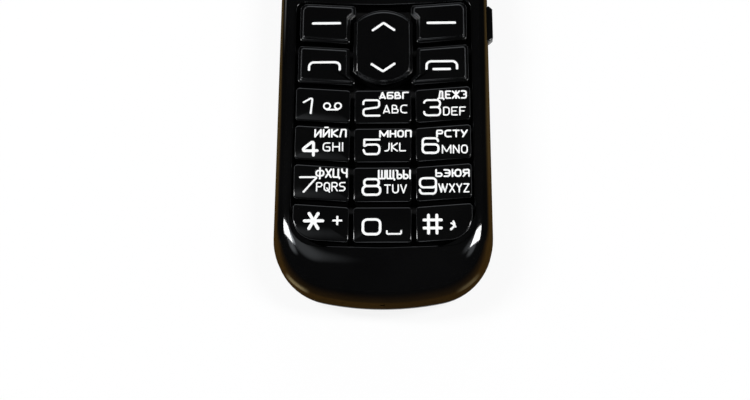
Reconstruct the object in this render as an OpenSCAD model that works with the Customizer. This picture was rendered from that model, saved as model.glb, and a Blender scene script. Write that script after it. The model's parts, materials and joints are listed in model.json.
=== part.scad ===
// Small bar phone with a number keypad, lying on its back.
// X runs across the phone, Y from the chin to the earpiece, Z out of the face.
// The origin is on the flat back, halfway along and across. Millimetres.

/* [Body] */
// Width across the side walls
body_w = 45.5; // [41:0.5:52]
// Length from the chin to the top end
body_l = 106; // [96:1:116]
// Thickness from the back to the face
body_t = 14; // [13.8:0.1:16]
// Wall of the front shell and the upper back
wall = 1.2; // [1:0.05:1.3]
// Corner radius at the chin, seen from the front
chin_corner_r = 13; // [11:0.5:14]
// Corner radius at the top end, seen from the front
top_corner_r = 10; // [9:0.5:12]
// Radius of the slightly bowed ends
end_bow_r = 61; // [50:1:90]
// How far the face rolls in at the side walls
side_roll = 3.5; // [3:0.1:3.7]
// How far the face rolls in at the chin
chin_roll = 10; // [8:0.5:10.5]
// How far the face rolls in at the top end
top_roll = 7; // [5:0.5:7]
// Height of the rolled edge below the face
face_roll_h = 5; // [4.5:0.1:5]
// How far the back rolls in along the sides and ends
back_roll = 5; // [4:0.25:5]
// Height of the rolled edge above the back
back_roll_h = 6; // [5:0.25:6]

/* [Seams] */
// Height of the seam between the front shell and the back parts
seam_z = 6; // [6:0.05:6.1]
// Width of the visible seams
seam = 0.15; // [0.1:0.05:0.2]
// Gap between pieces that are fixed to each other
fit_gap = 0.05; // [0.03:0.01:0.07]

/* [Keypad] */
// From the chin end to the lower edge of the last row
chin_l = 11.85; // [11.85:0.05:13]
// From the side wall to the side keys
key_margin = 4.4; // [4.35:0.05:4.75]
// Width of the middle column
mid_key_w = 11.9; // [11:0.1:13]
// Gap between columns
col_gap = 0.95; // [0.8:0.05:1.3]
// Height of a number key
num_key_h = 7.5; // [7:0.05:8]
// Gap between rows of number keys
row_gap = 1.15; // [0.9:0.05:1.3]
// Height of the call and end keys
call_key_h = 8.5; // [8:0.1:9.2]
// Height of the soft keys
soft_key_h = 8.9; // [8:0.1:9.2]
// Gap round the call and soft keys
func_gap = 1.2; // [0.9:0.05:1.4]
// How far the soft keys' outer edge lies in from the number keys'
soft_side_in = 0.4; // [0.2:0.05:0.6]
// How far the call keys' outer edge lies in from the number keys'
call_side_in = 0.2; // [0.1:0.05:0.4]
// How far the inner edge of the call and soft keys lies in from the number keys'
func_mid_in = 0.2; // [0.1:0.05:0.4]
// Step of the call and soft keys round the rocker's shoulder
notch = 1.1; // [0.8:0.05:1.3]
// Radius of the smile curve that the rows follow
smile_r = 176; // [150:2:260]
// Gap between the keys and the well round them
well_gap = 0.5; // [0.4:0.05:0.6]
// Gap between the last row and the well's lower edge
well_chin_gap = 0.9; // [0.6:0.05:1]
// Wall round the well, behind the face
well_wall = 0.9; // [0.7:0.05:1]
// How far the keys stand above the face
key_proud = 0.5; // [0.3:0.05:0.8]
// How far a key can be pressed
key_travel = 0.4; // [0.3:0.02:0.44]
// Air left under a key that is fully pressed
stop_gap = 0.06; // [0.05:0.01:0.08]
// Radius of the pillowed top of a number key
pillow_r = 20; // [16:1:40]
// Corner radius of the keys
key_corner_r = 0.7; // [0.4:0.1:1]
// Rounded outer corner of the star and hash keys
star_corner_r = 5; // [3:0.25:5.5]
// Rounded upper corner of the soft keys
soft_corner_r = 1.4; // [0.8:0.1:2]
// Width of the bevel on the flat keys
bevel_w = 0.95; // [0.6:0.05:1.2]
// Depth of the bevel on the flat keys
bevel_h = 0.45; // [0.3:0.05:0.6]
// Radius of a key's stem
stem_r = 1; // [0.8:0.05:1.1]
// Gap between a stem and its hole in the mat
stem_gap = 0.35; // [0.3:0.05:0.4]

/* [Navigation rocker] */
// Width of the rocker
nav_w = 12.7; // [12:0.1:12.8]
// Straight length of the rocker's sides
nav_side_l = 11.4; // [10:0.1:12]
// Rise of each arched end
nav_arch = 3; // [2.4:0.1:3]
// Gap between the rocker's shoulders and the step of the keys beside it
nav_gap = 0.7; // [0.5:0.05:0.9]
// Gap between the rocker and the number keys
nav_low_gap = 1.5; // [1.1:0.05:1.9]
// Distance of its stems from the middle
nav_stem_y = 5.2; // [4.5:0.1:5.6]
// Width of the rib that it rocks on
nav_rib_w = 6.4; // [5:0.1:7]

/* [Mat, domes and board] */
// Thickness of the silicone mat
mat_t = 0.6; // [0.5:0.05:0.7]
// Width of the mat's foot along its edge
mat_foot_w = 0.8; // [0.6:0.05:0.9]
// Thickness of the dome foil
foil_t = 0.12; // [0.1:0.01:0.15]
// Radius of a snap dome
dome_r = 2.5; // [2:0.1:2.6]
// Rise of a snap dome
dome_h = 0.35; // [0.3:0.01:0.4]
// Air between the foil and the mat
mat_air = 0.8; // [0.75:0.05:0.9]
// Thickness of the board
board_t = 0.9; // [0.8:0.05:1]
// Gap between the board's edge and the shell
board_gap = 0.4; // [0.3:0.05:0.6]

/* [Display] */
// From the side wall to the clear window
window_side = 5.75; // [5.5:0.05:6.5]
// How far the window reaches past the display at each side
window_lap = 1.5; // [1.2:0.1:2]
// How far the window reaches past the display at each end
window_end_lap = 0.8; // [0.7:0.05:0.9]
// Thickness of the display module
disp_t = 2.2; // [1.8:0.1:2.3]
// Step from the display's lower glass to its upper glass
disp_rim = 0.5; // [0.3:0.05:0.8]
// Border of the display beside the picture
view_side = 2.5; // [2.5:0.1:4]
// Border of the display above and below the picture
view_end = 2; // [2:0.1:3.5]
// Thickness of the clear window
window_t = 0.75; // [0.6:0.05:0.8]
// Corner radius of the window
window_r = 2.5; // [1.5:0.25:4]
// Compressed thickness of the foam frame
gasket_t = 0.5; // [0.4:0.05:0.6]
// Gap between the foam frame and the picture
gasket_in = 0.5; // [0.3:0.05:0.8]
// Corner radius of the foam frame and the display holder
frame_r = 1; // [0.6:0.1:1.5]
// Wall of the display holder
holder_wall = 0.8; // [0.6:0.05:0.9]
// Gap round the display in its holder
holder_gap = 0.1; // [0.05:0.01:0.15]
// Space between the keypad well and the display
disp_gap = 1.3; // [1.2:0.1:1.6]
// Height of the shield can
shield_h = 1.2; // [1:0.05:1.3]
// How far the shield can stays in from the display at each side
shield_side = 3.5; // [3:0.25:6]
// How far the shield can stays in from the display at each end
shield_end = 3; // [2.5:0.25:5]
// Sheet of the shield can
shield_sheet = 0.25; // [0.2:0.05:0.3]
// Corner radius of the shield can
shield_r = 0.6; // [0.4:0.1:1]

/* [Earpiece, speaker and motor] */
// Distance of the earpiece from the top end
ear_end = 6.1; // [6:0.1:6.2]
// Gap between the earpiece and the display holder
ear_gap = 0.34; // [0.3:0.02:0.6]
// Width of the earpiece capsule
ear_w = 10; // [8:0.5:12]
// Length of the earpiece capsule
ear_l = 4.2; // [3.6:0.1:4.2]
// Thickness of the earpiece capsule
ear_t = 2; // [1.6:0.1:2.2]
// Corner radius of the earpiece capsule
ear_r = 1.2; // [0.8:0.1:1.6]
// Rim round the raised face of the earpiece capsule
ear_rim = 0.6; // [0.4:0.1:0.8]
// Width of the slot in the face
ear_slot_w = 9; // [7:0.5:10]
// Length of the slot in the face
ear_slot_l = 1.4; // [1:0.1:1.6]
// Thickness of the dust mesh behind the slot
mesh_t = 0.15; // [0.1:0.05:0.2]
// How far the dust mesh reaches past the slot at each side
mesh_lap = 0.2; // [0.2:0.05:0.4]
// How far the dust mesh reaches past the slot at each end
mesh_end_lap = 0.5; // [0.3:0.05:0.6]
// Gap between the loudspeaker and the headset socket beside it
speaker_side_gap = 1.6; // [1.5:0.1:2.4]
// Length of the loudspeaker
speaker_l = 8; // [6:0.25:8]
// Thickness of the loudspeaker
speaker_t = 3.2; // [2.5:0.1:3.6]
// Gap between the loudspeaker and the wall below it
speaker_gap = 1.2; // [0.3:0.05:1.3]
// Corner radius of the loudspeaker
speaker_r = 1.5; // [1:0.1:2]
// Rim round the raised front of the loudspeaker
speaker_rim = 0.8; // [0.5:0.1:1]
// Rise of the loudspeaker's front
speaker_front = 0.3; // [0.2:0.05:0.4]
// Width of a loudspeaker slot
speaker_slot_w = 1; // [0.8:0.1:1.2]
// Length of a loudspeaker slot
speaker_slot_l = 5; // [4:0.25:5.5]
// Distance from one loudspeaker slot to the next
speaker_slot_pitch = 2; // [1.8:0.1:2.4]
// Radius of the coin motor
motor_r = 3.4; // [3:0.1:3.5]
// Thickness of the coin motor
motor_t = 2.7; // [2:0.1:3]
// Rise of the cap on the coin motor
motor_cap_h = 0.3; // [0.2:0.05:0.4]
// From the side wall to the middle of the motor
motor_side = 9.75; // [9.4:0.05:10]

/* [Sockets] */
// From the side wall to the middle of the headset socket
jack_side = 10.55; // [10.4:0.05:11]
// How far the board sits back from the top end
board_back = 3.6; // [3.5:0.1:3.8]
// How far the headset socket's body sits back from the end wall's face
jack_back = 2.4; // [2.3:0.05:2.6]
// How far the charging socket sits back from the end wall's face
charge_back = 1.8; // [1.4:0.1:2.2]
// Gap round the sockets in the shells
mouth_gap = 0.25; // [0.2:0.05:0.3]
// Radius of the headset socket's bore
jack_r = 1.8; // [1.8:0.05:1.9]
// Depth of the headset socket's bore
jack_depth = 14.5; // [14:0.25:14.75]
// Length of the headset socket's round nose
jack_nose = 2.1; // [1.9:0.1:2.2]
// Wall of the nose
jack_wall = 0.6; // [0.5:0.05:0.6]
// Floor behind the headset socket's bore
jack_floor = 0.7; // [0.5:0.05:0.8]
// Width of the headset socket
jack_w = 6.2; // [5.5:0.1:6.4]
// Height of the headset socket
jack_h = 4.8; // [4.5:0.1:5]
// From the side wall to the middle of the charging socket
charge_side = 10.75; // [10.4:0.05:11.5]
// Width of the charging socket
charge_w = 7.6; // [7:0.1:8]
// Height of the charging socket
charge_h = 2.65; // [2.4:0.05:2.8]
// Depth of the charging socket
charge_l = 5.4; // [4.5:0.1:5.4]
// Sheet of the charging socket's shell
charge_sheet = 0.3; // [0.25:0.05:0.4]
// Corner radius of the charging socket
charge_r = 0.2; // [0.1:0.05:0.4]

/* [Battery, card and cover] */
// From the side wall to the battery
batt_side = 5.75; // [5.75:0.05:6.5]
// Thickness of the battery
batt_t = 5; // [4.5:0.1:5]
// Corner radius of the battery
batt_r = 2; // [1:0.25:3]
// From the chin end to the lower edge of the battery
batt_end = 32.5; // [32.5:0.1:33]
// Air between the cover and the battery
batt_air = 0.4; // [0.3:0.05:0.5]
// Gap round the battery in its bay
bay_gap = 0.25; // [0.2:0.05:0.4]
// Wall of the battery bay
bay_wall = 1; // [0.8:0.05:1.1]
// Gap between the bay's rim and the inside of the cover
bay_rim_gap = 0.9; // [0.8:0.05:1]
// Room between the battery bay and the upper back, for the screws
bay_end_gap = 4; // [3.9:0.1:5]
// Width of the contact block
contact_w = 9; // [8.5:0.1:10]
// Length of the contact block
contact_l = 3; // [2.5:0.1:3.2]
// Gap beside the contact block in its window
contact_gap = 0.5; // [0.3:0.05:0.6]
// Distance from one contact blade to the next
blade_pitch = 2.6; // [2.2:0.1:3]
// Width of a contact blade
blade_w = 1; // [0.8:0.1:1.2]
// Height of a contact blade
blade_h = 1.6; // [1.2:0.1:2]
// Plate between the battery and the board
web_t = 0.8; // [0.7:0.05:0.9]
// Wall of the battery cover
cover_wall = 1.1; // [1:0.05:1.2]
// Length of the fixed upper back, at the top end
upper_back_l = 15; // [15:0.25:15.5]
// Width of the subscriber card
card_w = 25; // [25:0.1:25.2]
// Length of the subscriber card
card_l = 15; // [15:0.1:15.2]
// Room at each end of the card in its bay
card_room = 1.5; // [1.4:0.05:1.6]
// Rim round the card in its holder
card_rim = 1; // [0.8:0.05:1.1]
// Sheet of the card holder
card_sheet = 0.3; // [0.2:0.05:0.35]
// Height of the card's slot
card_slot_h = 0.9; // [0.85:0.05:1]
// How deep the cover's lips reach in
lip_w = 2.3; // [2:0.1:2.4]
// Thickness of the cover's lips
lip_t = 0.5; // [0.4:0.05:0.6]
// Play above and below the cover's lips
lip_gap = 0.35; // [0.3:0.05:0.4]
// Thickness of the rails that the lips run on
rail_t = 1.1; // [0.9:0.05:1.2]
// Gap between the rails and the side walls of the cover
rail_gap = 0.95; // [0.8:0.05:1.2]
// From the end of the chin's roll to the start of the rails
rail_start = 2; // [1:0.25:4]
// Gap between the bulkhead's sides and the side walls
bulkhead_gap = 2; // [1:0.25:3]

/* [Antenna and microphone] */
// From the chin end to the antenna block
antenna_end = 4.2; // [4.1:0.1:5]
// Width of the antenna block
antenna_w = 24; // [20:0.5:24]
// Length of the antenna block
antenna_l = 5.6; // [4.5:0.1:5.8]
// Height of the antenna block
antenna_h = 4.2; // [3.5:0.1:4.4]
// Wall of the antenna block
antenna_wall = 1; // [0.8:0.1:1.4]
// Thickness of the antenna strip
strip_t = 0.2; // [0.15:0.05:0.3]
// Width of the slots in the antenna strip
strip_slot_w = 0.8; // [0.6:0.1:1.2]
// Width of the bridge that each slot leaves
strip_bridge = 1.2; // [0.8:0.1:1.6]
// Radius of the microphone
mic_r = 2; // [1.6:0.1:2.2]
// Height of the microphone
mic_h = 1.6; // [1.3:0.1:1.8]
// Gap between the microphone and the board's edge
mic_gap = 0.3; // [0.2:0.05:0.6]
// Radius of the microphone's hole in the end wall
mic_hole_r = 0.5; // [0.4:0.05:0.7]

/* [Side key] */
// From the top of the keypad well to the middle of the side key, downwards
side_key_drop = 2.7; // [2:0.1:8]
// Length of the side key
side_key_l = 8.4; // [7:0.1:9]
// Height of the side key, across the wall
side_key_h = 2.4; // [2:0.1:2.6]
// How far the side key stands out
side_key_out = 1; // [0.7:0.05:1.2]
// How far the side key can be pressed
side_travel = 0.3; // [0.2:0.02:0.34]
// Gap round the side key in its slot
side_gap = 0.3; // [0.3:0.02:0.36]
// Gap between the board and the side key
side_lift = 0.1; // [0.1:0.02:0.2]
// Thickness and reach of the flange that holds the side key in
side_flange = 0.4; // [0.35:0.05:0.5]
// Depth of the side switch
switch_w = 0.9; // [0.7:0.05:1]

/* [Screws] */
// Radius of a screw's shank
screw_r = 0.7; // [0.6:0.02:0.75]
// Radius of a screw's head
head_r = 1.35; // [1.2:0.05:1.4]
// Height of a screw's head
head_h = 0.8; // [0.6:0.05:0.85]
// Length of a screw under its head
screw_l = 4.2; // [3.8:0.1:4.4]
// Width of the cross slots in a screw's head
screw_slot_w = 0.35; // [0.3:0.05:0.5]
// Radius of the screw pillars in the front shell
pillar_r = 1.6; // [1.4:0.05:1.65]
// From the inside of the side wall to the upper screws
screw_side = 2.75; // [2.7:0.05:3]
// From the end of the upper back down to the upper screws
screw_below = 1.75; // [1.7:0.05:1.85]
// Distance of the chin screws from the middle
chin_screw_x = 14.5; // [14.4:0.1:15]
// Distance of the chin screws from the chin end
chin_screw_end = 8; // [7.8:0.1:8.4]

/* [Hidden] */

// Facets of true round features, and of the wide cylinder that rounds a number key's top
round_fn = 48;
pillow_fn = 180;
// Steps of an arc in an outline: a corner, a bowed end, a small fillet, a rolled edge
corner_steps = 6;
bow_steps = 3;
fillet_steps = 4;
roll_steps = 5;
// Thickness of the slice on top of a bevel
slice = 0.01;
// Overlap that makes a cut pass clean through
cut = 1;

half_w = body_w / 2;
pad_half = half_w - key_margin;
y_top = body_l / 2;
y_chin = -body_l / 2;

// Heights of the stack, from the back to the face
batt_z = cover_wall + batt_air;
web_z = batt_z + batt_t + fit_gap * 4;
board_z = web_z + web_t + fit_gap;
board_top = board_z + board_t;
foil_z = board_top + fit_gap;
foil_top = foil_z + foil_t;
mat_z = foil_top + mat_air;
mat_top = mat_z + mat_t;
cap_z = mat_top + key_travel + stop_gap;
stem_z = foil_top + dome_h + key_travel + stop_gap;
face_in = body_t - wall;
key_top = body_t + key_proud;

// Rows and columns of the keypad
pad_y = y_chin + chin_l;
row_pitch = num_key_h + row_gap;
num_top_y = pad_y + 4 * num_key_h + 3 * row_gap;
call_y = num_top_y + func_gap;
soft_y = call_y + call_key_h + func_gap;
pad_top_y = soft_y + soft_key_h;
side_x = mid_key_w / 2 + col_gap;
nav_end = nav_side_l / 2;
nav_y = num_top_y + nav_low_gap + nav_arch + nav_end;

// Display, which fills the room between the keypad and the earpiece
well_top_y = pad_top_y + well_gap + smile(pad_half);
ear_y = y_top - ear_end;
disp_low_y = well_top_y + well_wall + disp_gap + holder_wall;
disp_l = ear_y - ear_l / 2 - ear_gap - holder_wall - holder_gap - disp_low_y;
disp_y = disp_low_y + disp_l / 2;
window_w = body_w - 2 * window_side;
window_l = disp_l + 2 * window_end_lap;
disp_w = window_w - 2 * window_lap;
view_w = disp_w - 2 * view_side;
view_l = disp_l - 2 * view_end;
gasket_z = face_in - gasket_t - fit_gap;
disp_z = gasket_z - fit_gap - disp_t;
ear_z = face_in - wall / 3 - ear_t - mesh_t - fit_gap;

// Sockets in the top end
jack_x = half_w - jack_side;
jack_y = top_end(jack_x) - jack_back;
jack_z = board_z - fit_gap - jack_h;
jack_back_y = jack_y + jack_nose - jack_depth - jack_floor;
charge_x = half_w - charge_side;
charge_y = top_end(charge_x) - charge_back;
charge_z = board_z - fit_gap - charge_h;

// Bay, cover and card holder; the battery fills the room below the upper back
cover_y = y_top - upper_back_l;
batt_y = y_chin + batt_end;
batt_w = body_w - 2 * batt_side;
bay_top_y = cover_y - bay_end_gap;
contact_y = bay_top_y - bay_wall - bay_gap - contact_l;
batt_l = contact_y - bay_gap - batt_y;
bay_half = batt_w / 2 + bay_gap + bay_wall;
bay_z = cover_wall + bay_rim_gap;
card_top_y = batt_y - bay_gap - bay_wall;
card_bay_y = card_top_y - card_l - 2 * card_room;
card_y = card_top_y - card_room - card_l / 2;
window_gap = bay_gap + fit_gap;
lip_z = seam_z - seam - lip_t - lip_gap;
rail_z = lip_z - lip_gap - rail_t;
lip_x = half_w - cover_wall - lip_w;
rail_x = half_w - cover_wall - rail_gap;
chin_roll_y = y_chin + chin_corner_r + back_roll;

// Loudspeaker and motor, above the wall that closes the upper back
bulkhead_y = cover_y + wall;
speaker_w = 2 * (jack_x - jack_w / 2 - speaker_side_gap);
speaker_y = bulkhead_y + speaker_gap + speaker_l / 2;
motor_x = half_w - motor_side;

// Antenna behind the chin
antenna_y = y_chin + antenna_end;
antenna_z = web_z - fit_gap - antenna_h;

// Side key
side_y = pad_top_y - side_key_drop;
side_z = board_top + side_lift + side_key_h / 2;
flange_x = half_w - wall - fit_gap * 2 - side_flange;
switch_x = flange_x - side_travel - stop_gap;

// Screw places, right-hand side
screw_top = [half_w - wall - screw_side, cover_y - screw_below];
screw_chin = [chin_screw_x, y_chin + chin_screw_end];

piece_black = [0.05, 0.05, 0.055];
soft_black = [0.12, 0.12, 0.13];

function smile(x) = smile_r - sqrt(smile_r * smile_r - x * x);
function top_end(x) = y_top - end_bow_r + sqrt(end_bow_r * end_bow_r - x * x);
function arc(c, r, a0, a1, n) =
  [for (i = [0:n]) let (a = a0 + (a1 - a0) * i / n) c + r * [cos(a), sin(a)]];
function unit(v) = v / norm(v);
function wrap(list, i) = list[(i + len(list)) % len(list)];

// The points of a polygon with each corner rounded by its own radius
function rounded(pts, radii) =
  [for (i = [0:len(pts) - 1], p = fillet(wrap(pts, i - 1), pts[i], wrap(pts, i + 1), radii[i])) p];
function fillet(a, b, c, r) = r == 0 ? [b] :
  let (u = unit(a - b), v = unit(c - b), half = acos(u * v) / 2, m = b + unit(u + v) * r / sin(half),
       p = b + u * r / tan(half) - m, q = b + v * r / tan(half) - m,
       a0 = atan2(p.y, p.x), turn = atan2(p.x * q.y - p.y * q.x, p * q))
  arc(m, r, a0, a0 + turn, fillet_steps);

// A polygon, listed anticlockwise, with every edge moved in by d
function inset(pts, d) =
  [for (i = [0:len(pts) - 1])
    let (e = unit(pts[i] - wrap(pts, i - 1)), f = unit(wrap(pts, i + 1) - pts[i]),
         n = [-e.y, e.x], m = [-f.y, f.x])
    pts[i] + d * (n + m) / (1 + n * m)];

// Outline of the end that points to +Y: corner, bowed end, corner
function end_outline(hw, yt, rc) =
  let (re = end_bow_r, dx = hw - rc, b = asin(dx / (re - rc)), yc = yt - re,
       cy = yc + (re - rc) * cos(b), bow = arc([0, yc], re, 90 - b, 90 + b, 2 * bow_steps))
  concat(arc([dx, cy], rc, 0, 90 - b, corner_steps), [for (i = [1:2 * bow_steps - 1]) bow[i]],
         arc([-dx, cy], rc, 90 + b, 180, corner_steps));

// Outline of the body with its sides, top end and chin moved in
function outline(side, top, chin) =
  concat(end_outline(half_w - side, y_top - top, top_corner_r - side),
         [for (p = end_outline(half_w - side, -y_chin - chin, chin_corner_r - side)) -p]);

module plate(pts, z0, z1) translate([0, 0, z0]) linear_extrude(z1 - z0) polygon(pts);
module block(x, y, z) translate([x[0], y[0], z[0]]) cube([x[1] - x[0], y[1] - y[0], z[1] - z[0]]);
module pin(x, y, z0, z1, r) translate([x, y, z0]) cylinder(h = z1 - z0, r = r, $fn = round_fn);
module both_sides() { children(); mirror([1, 0, 0]) children(); }

// Rings of the body from the back to the face: height, then how far the sides, top and chin are in
function rings(t) = concat(
  [for (i = [roll_steps:-1:0]) let (a = 90 * i / roll_steps, k = t + (back_roll - t) * (1 - cos(a)))
    [back_roll_h - (back_roll_h - t) * sin(a), k, k, k]],
  [for (i = [0:roll_steps]) let (a = 90 * i / roll_steps, k = 1 - cos(a))
    [body_t - face_roll_h + (face_roll_h - t) * sin(a), t + (side_roll - t) * k,
     t + (top_roll - t) * k, t + (chin_roll - t) * k]]);

// The whole body, or its hollow when t is the wall: flat face and back, rolled edges all round
module body(t) {
  n = len(outline(t, t, t));
  m = len(rings(t));
  polyhedron(
    points = [for (r = rings(t), p = outline(r[1], r[2], r[3])) [p.x, p.y, r[0]]],
    faces = concat([[for (j = [0:n - 1]) j]], [[for (j = [n - 1:-1:0]) (m - 1) * n + j]],
      [for (i = [0:m - 2], j = [0:n - 1], half = [0, 1])
        let (q = i * n + j, w = i * n + (j + 1) % n)
        half == 0 ? [q, q + n, w + n] : [q, w + n, w]]));
}

// The keypad well, grown by g all round
function well_outline(g) =
  let (hx = pad_half + well_gap + g, top = pad_top_y + well_gap + g,
       low = pad_y - well_chin_gap - g, mid = pad_half * 0.6)
  rounded([[hx, top + smile(hx)], [mid, top + smile(mid)], [0, top], [-mid, top + smile(mid)],
           [-hx, top + smile(hx)], [-hx, low + smile(hx)], [-mid, low + smile(mid)], [0, low],
           [mid, low + smile(mid)], [hx, low + smile(hx)]],
          [soft_corner_r + well_gap + g, 0, 0, 0, soft_corner_r + well_gap + g,
           star_corner_r + well_gap + g, 0, 0, 0, star_corner_r + well_gap + g]);

function box_outline(x, y, w, l, r) =
  rounded([[x + w / 2, y + l / 2], [x - w / 2, y + l / 2], [x - w / 2, y - l / 2],
           [x + w / 2, y - l / 2]], [r, r, r, r]);

// Left edge, right edge and middle of a column
function col_x(c) = c == 0 ? [-pad_half, -side_x] : c == 1 ? [-mid_key_w / 2, mid_key_w / 2]
  : [side_x, pad_half];
function col_mid(c) = (col_x(c)[0] + col_x(c)[1]) / 2;
function row_low(r) = num_top_y - num_key_h - r * row_pitch;

// Four corners of a key between two heights on the smile curve, anticlockwise from the upper right
function key_corners(x0, x1, low, high) =
  [[x1, high + smile(x1)], [x0, high + smile(x0)], [x0, low + smile(x0)], [x1, low + smile(x1)]];

function key_place(c, low, h) = [col_mid(c), low + h / 2 + smile(col_mid(c))];
function func_place(low, h) = key_place(0, low, h);
function all_domes() = concat(
  [for (r = [0:3], c = [0:2]) key_place(c, row_low(r), num_key_h)],
  [for (s = [-1, 1], low = [call_y, soft_y])
    let (h = low == soft_y ? soft_key_h : call_key_h, p = func_place(low, h)) [s * p.x, p.y]],
  [for (s = [-1, 1]) [0, nav_y + s * nav_stem_y]]);

module stem(p) pin(p.x, p.y, stem_z, cap_z + cut, stem_r);

module number_key(c, r) {
  x = col_x(c);
  low = row_low(r);
  p = key_place(c, low, num_key_h);
  big = r == 3 ? star_corner_r : key_corner_r;
  small = key_corner_r;
  color(piece_black) {
    intersection() {
      plate(rounded(key_corners(x[0], x[1], low, low + num_key_h),
        [small, small, c == 0 ? big : small, c == 2 ? big : small]), cap_z, key_top + cut);
      translate([p.x, p.y, key_top - pillow_r]) rotate([0, 0, asin(p.x / smile_r)])
        rotate([0, 90, 0]) cylinder(h = mid_key_w * 2, r = pillow_r, center = true, $fn = pillow_fn);
    }
    stem(p);
  }
}

// A flat key: a straight rim and a bevel up to its flat top
module flat_key(pts, radii) {
  intersection() {
    plate(rounded(pts, radii), cap_z, key_top);
    hull() {
      plate(rounded(pts, radii), cap_z, key_top - bevel_h);
      plate(rounded(inset(pts, bevel_w), radii), key_top - slice, key_top);
    }
  }
}

// The left soft key: its inner edge steps out above the rocker's shoulder
module soft_key() {
  x0 = -pad_half + soft_side_in;
  x1 = -side_x - func_mid_in;
  shoulder = nav_y + nav_end + nav_gap;
  high = pad_top_y;
  pts = [[x1 + notch, high + smile(x1)], [x0, high + smile(x0)], [x0, soft_y + smile(x0)],
         [x1, soft_y + smile(x1)], [x1, shoulder], [x1 + notch, shoulder + notch]];
  flat_key(pts, [key_corner_r, soft_corner_r, key_corner_r, key_corner_r, 0, 0]);
  stem(func_place(soft_y, soft_key_h));
}

// The left call key: its inner edge steps out below the rocker's shoulder
module call_key() {
  x0 = -pad_half + call_side_in;
  x1 = -side_x - func_mid_in;
  shoulder = nav_y - nav_end - nav_gap;
  high = call_y + call_key_h;
  pts = [[x1, high + smile(x1)], [x0, high + smile(x0)], [x0, call_y + smile(x0)],
         [x1 + notch, call_y + smile(x1)], [x1 + notch, shoulder - notch], [x1, shoulder]];
  flat_key(pts, [key_corner_r, key_corner_r, key_corner_r, key_corner_r, 0, 0]);
  stem(func_place(call_y, call_key_h));
}

// Outline of the rocker, moved in by d
function nav_outline(d) =
  let (hx = nav_w / 2 - d, end = nav_end, rise = nav_arch - d,
       r = (hx * hx + rise * rise) / (2 * rise), a = asin(hx / r))
  concat(arc([0, nav_y + end + rise - r], r, 90 - a, 90 + a, 2 * corner_steps),
         arc([0, nav_y - end - rise + r], r, 270 - a, 270 + a, 2 * corner_steps));

module key_nav() color(piece_black) {
  hull() {
    plate(nav_outline(0), cap_z, key_top - bevel_h);
    plate(nav_outline(bevel_w), key_top - slice, key_top);
  }
  for (s = [-1, 1]) stem([0, nav_y + s * nav_stem_y]);
}

module key_soft_left() color(piece_black) soft_key();
module key_soft_right() color(piece_black) mirror([1, 0, 0]) soft_key();
module key_call() color(piece_black) call_key();
module key_end() color(piece_black) mirror([1, 0, 0]) call_key();
module key_1() number_key(0, 0);
module key_2() number_key(1, 0);
module key_3() number_key(2, 0);
module key_4() number_key(0, 1);
module key_5() number_key(1, 1);
module key_6() number_key(2, 1);
module key_7() number_key(0, 2);
module key_8() number_key(1, 2);
module key_9() number_key(2, 2);
module key_star() number_key(0, 3);
module key_0() number_key(1, 3);
module key_hash() number_key(2, 3);

// The side key's outline along the wall, seen from the side
module side_key_form(g, x0, x1)
  block([x0, x1], [side_y - side_key_l / 2 - g, side_y + side_key_l / 2 + g],
    [side_z - side_key_h / 2 - g, side_z + side_key_h / 2 + g]);

module side_key() color(piece_black) {
  tip = half_w + side_key_out;
  difference() {
    side_key_form(0, flange_x + side_flange / 2, tip);
    for (s = [-1, 1]) translate([tip, side_y + s * side_key_l / 2, side_z]) rotate([0, 0, 45])
      cube([side_key_out, side_key_out, side_key_h * 2], center = true);
  }
  block([flange_x, flange_x + side_flange],
    [side_y - side_key_l / 2 - side_gap - side_flange,
      side_y + side_key_l / 2 + side_gap + side_flange],
    [side_z - side_key_h / 2, side_z + fit_gap * 3]);
}

module side_switch() color("silver") {
  y = [side_y - side_key_l / 4, side_y + side_key_l / 4];
  block([switch_x - switch_w, switch_x - fit_gap * 4], y,
    [board_top + fit_gap, side_z + side_key_h / 2]);
  block([switch_x - switch_w / 2, switch_x], [side_y - side_key_h / 2, side_y + side_key_h / 2],
    [side_z - side_key_h / 4, side_z + side_key_h / 4]);
}

module pillars(r, z0, z1) both_sides() {
  pin(screw_top.x, screw_top.y, z0, z1, r);
  pin(screw_chin.x, screw_chin.y, z0, z1, r);
}

// Openings in the top end wall for the two sockets
module socket_mouths() {
  translate([jack_x, y_top + cut, jack_z + jack_h / 2]) rotate([90, 0, 0])
    cylinder(h = y_top + cut - jack_y, r = jack_r + jack_wall + mouth_gap, $fn = round_fn);
  block([-charge_x - charge_w / 2 - mouth_gap, -charge_x + charge_w / 2 + mouth_gap],
    [charge_y - cut, y_top + cut], [charge_z - mouth_gap, charge_z + charge_h + mouth_gap]);
}

module front_shell() color(piece_black) difference() {
  intersection() {
    body(0);
    union() {
      difference() {
        block([-body_w, body_w], [-body_l, body_l], [seam_z, body_t + cut]);
        body(wall);
      }
      plate(well_outline(well_wall), mat_top + fit_gap, body_t + cut);
      pillars(pillar_r, board_top + fit_gap, face_in + wall / 2);
    }
  }
  plate(well_outline(0), mat_top, body_t + cut);
  pillars(screw_r + fit_gap / 2, board_top, web_z + screw_l + 2 * fit_gap);
  plate(box_outline(0, disp_y, window_w + 2 * fit_gap, window_l + 2 * fit_gap, window_r),
    body_t - window_t - fit_gap, body_t + cut);
  block([-view_w / 2, view_w / 2], [disp_y - view_l / 2, disp_y + view_l / 2], [face_in - cut, body_t]);
  plate(box_outline(0, ear_y, ear_slot_w, ear_slot_l, ear_slot_l / 2 - fit_gap), ear_z, body_t + cut);
  socket_mouths();
  translate([0, y_chin - cut, board_top + fit_gap + mic_h / 2]) rotate([-90, 0, 0])
    cylinder(h = wall + 2 * cut, r = mic_hole_r, $fn = round_fn);
  side_key_form(side_gap, flange_x - cut, half_w + cut);
}

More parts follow.
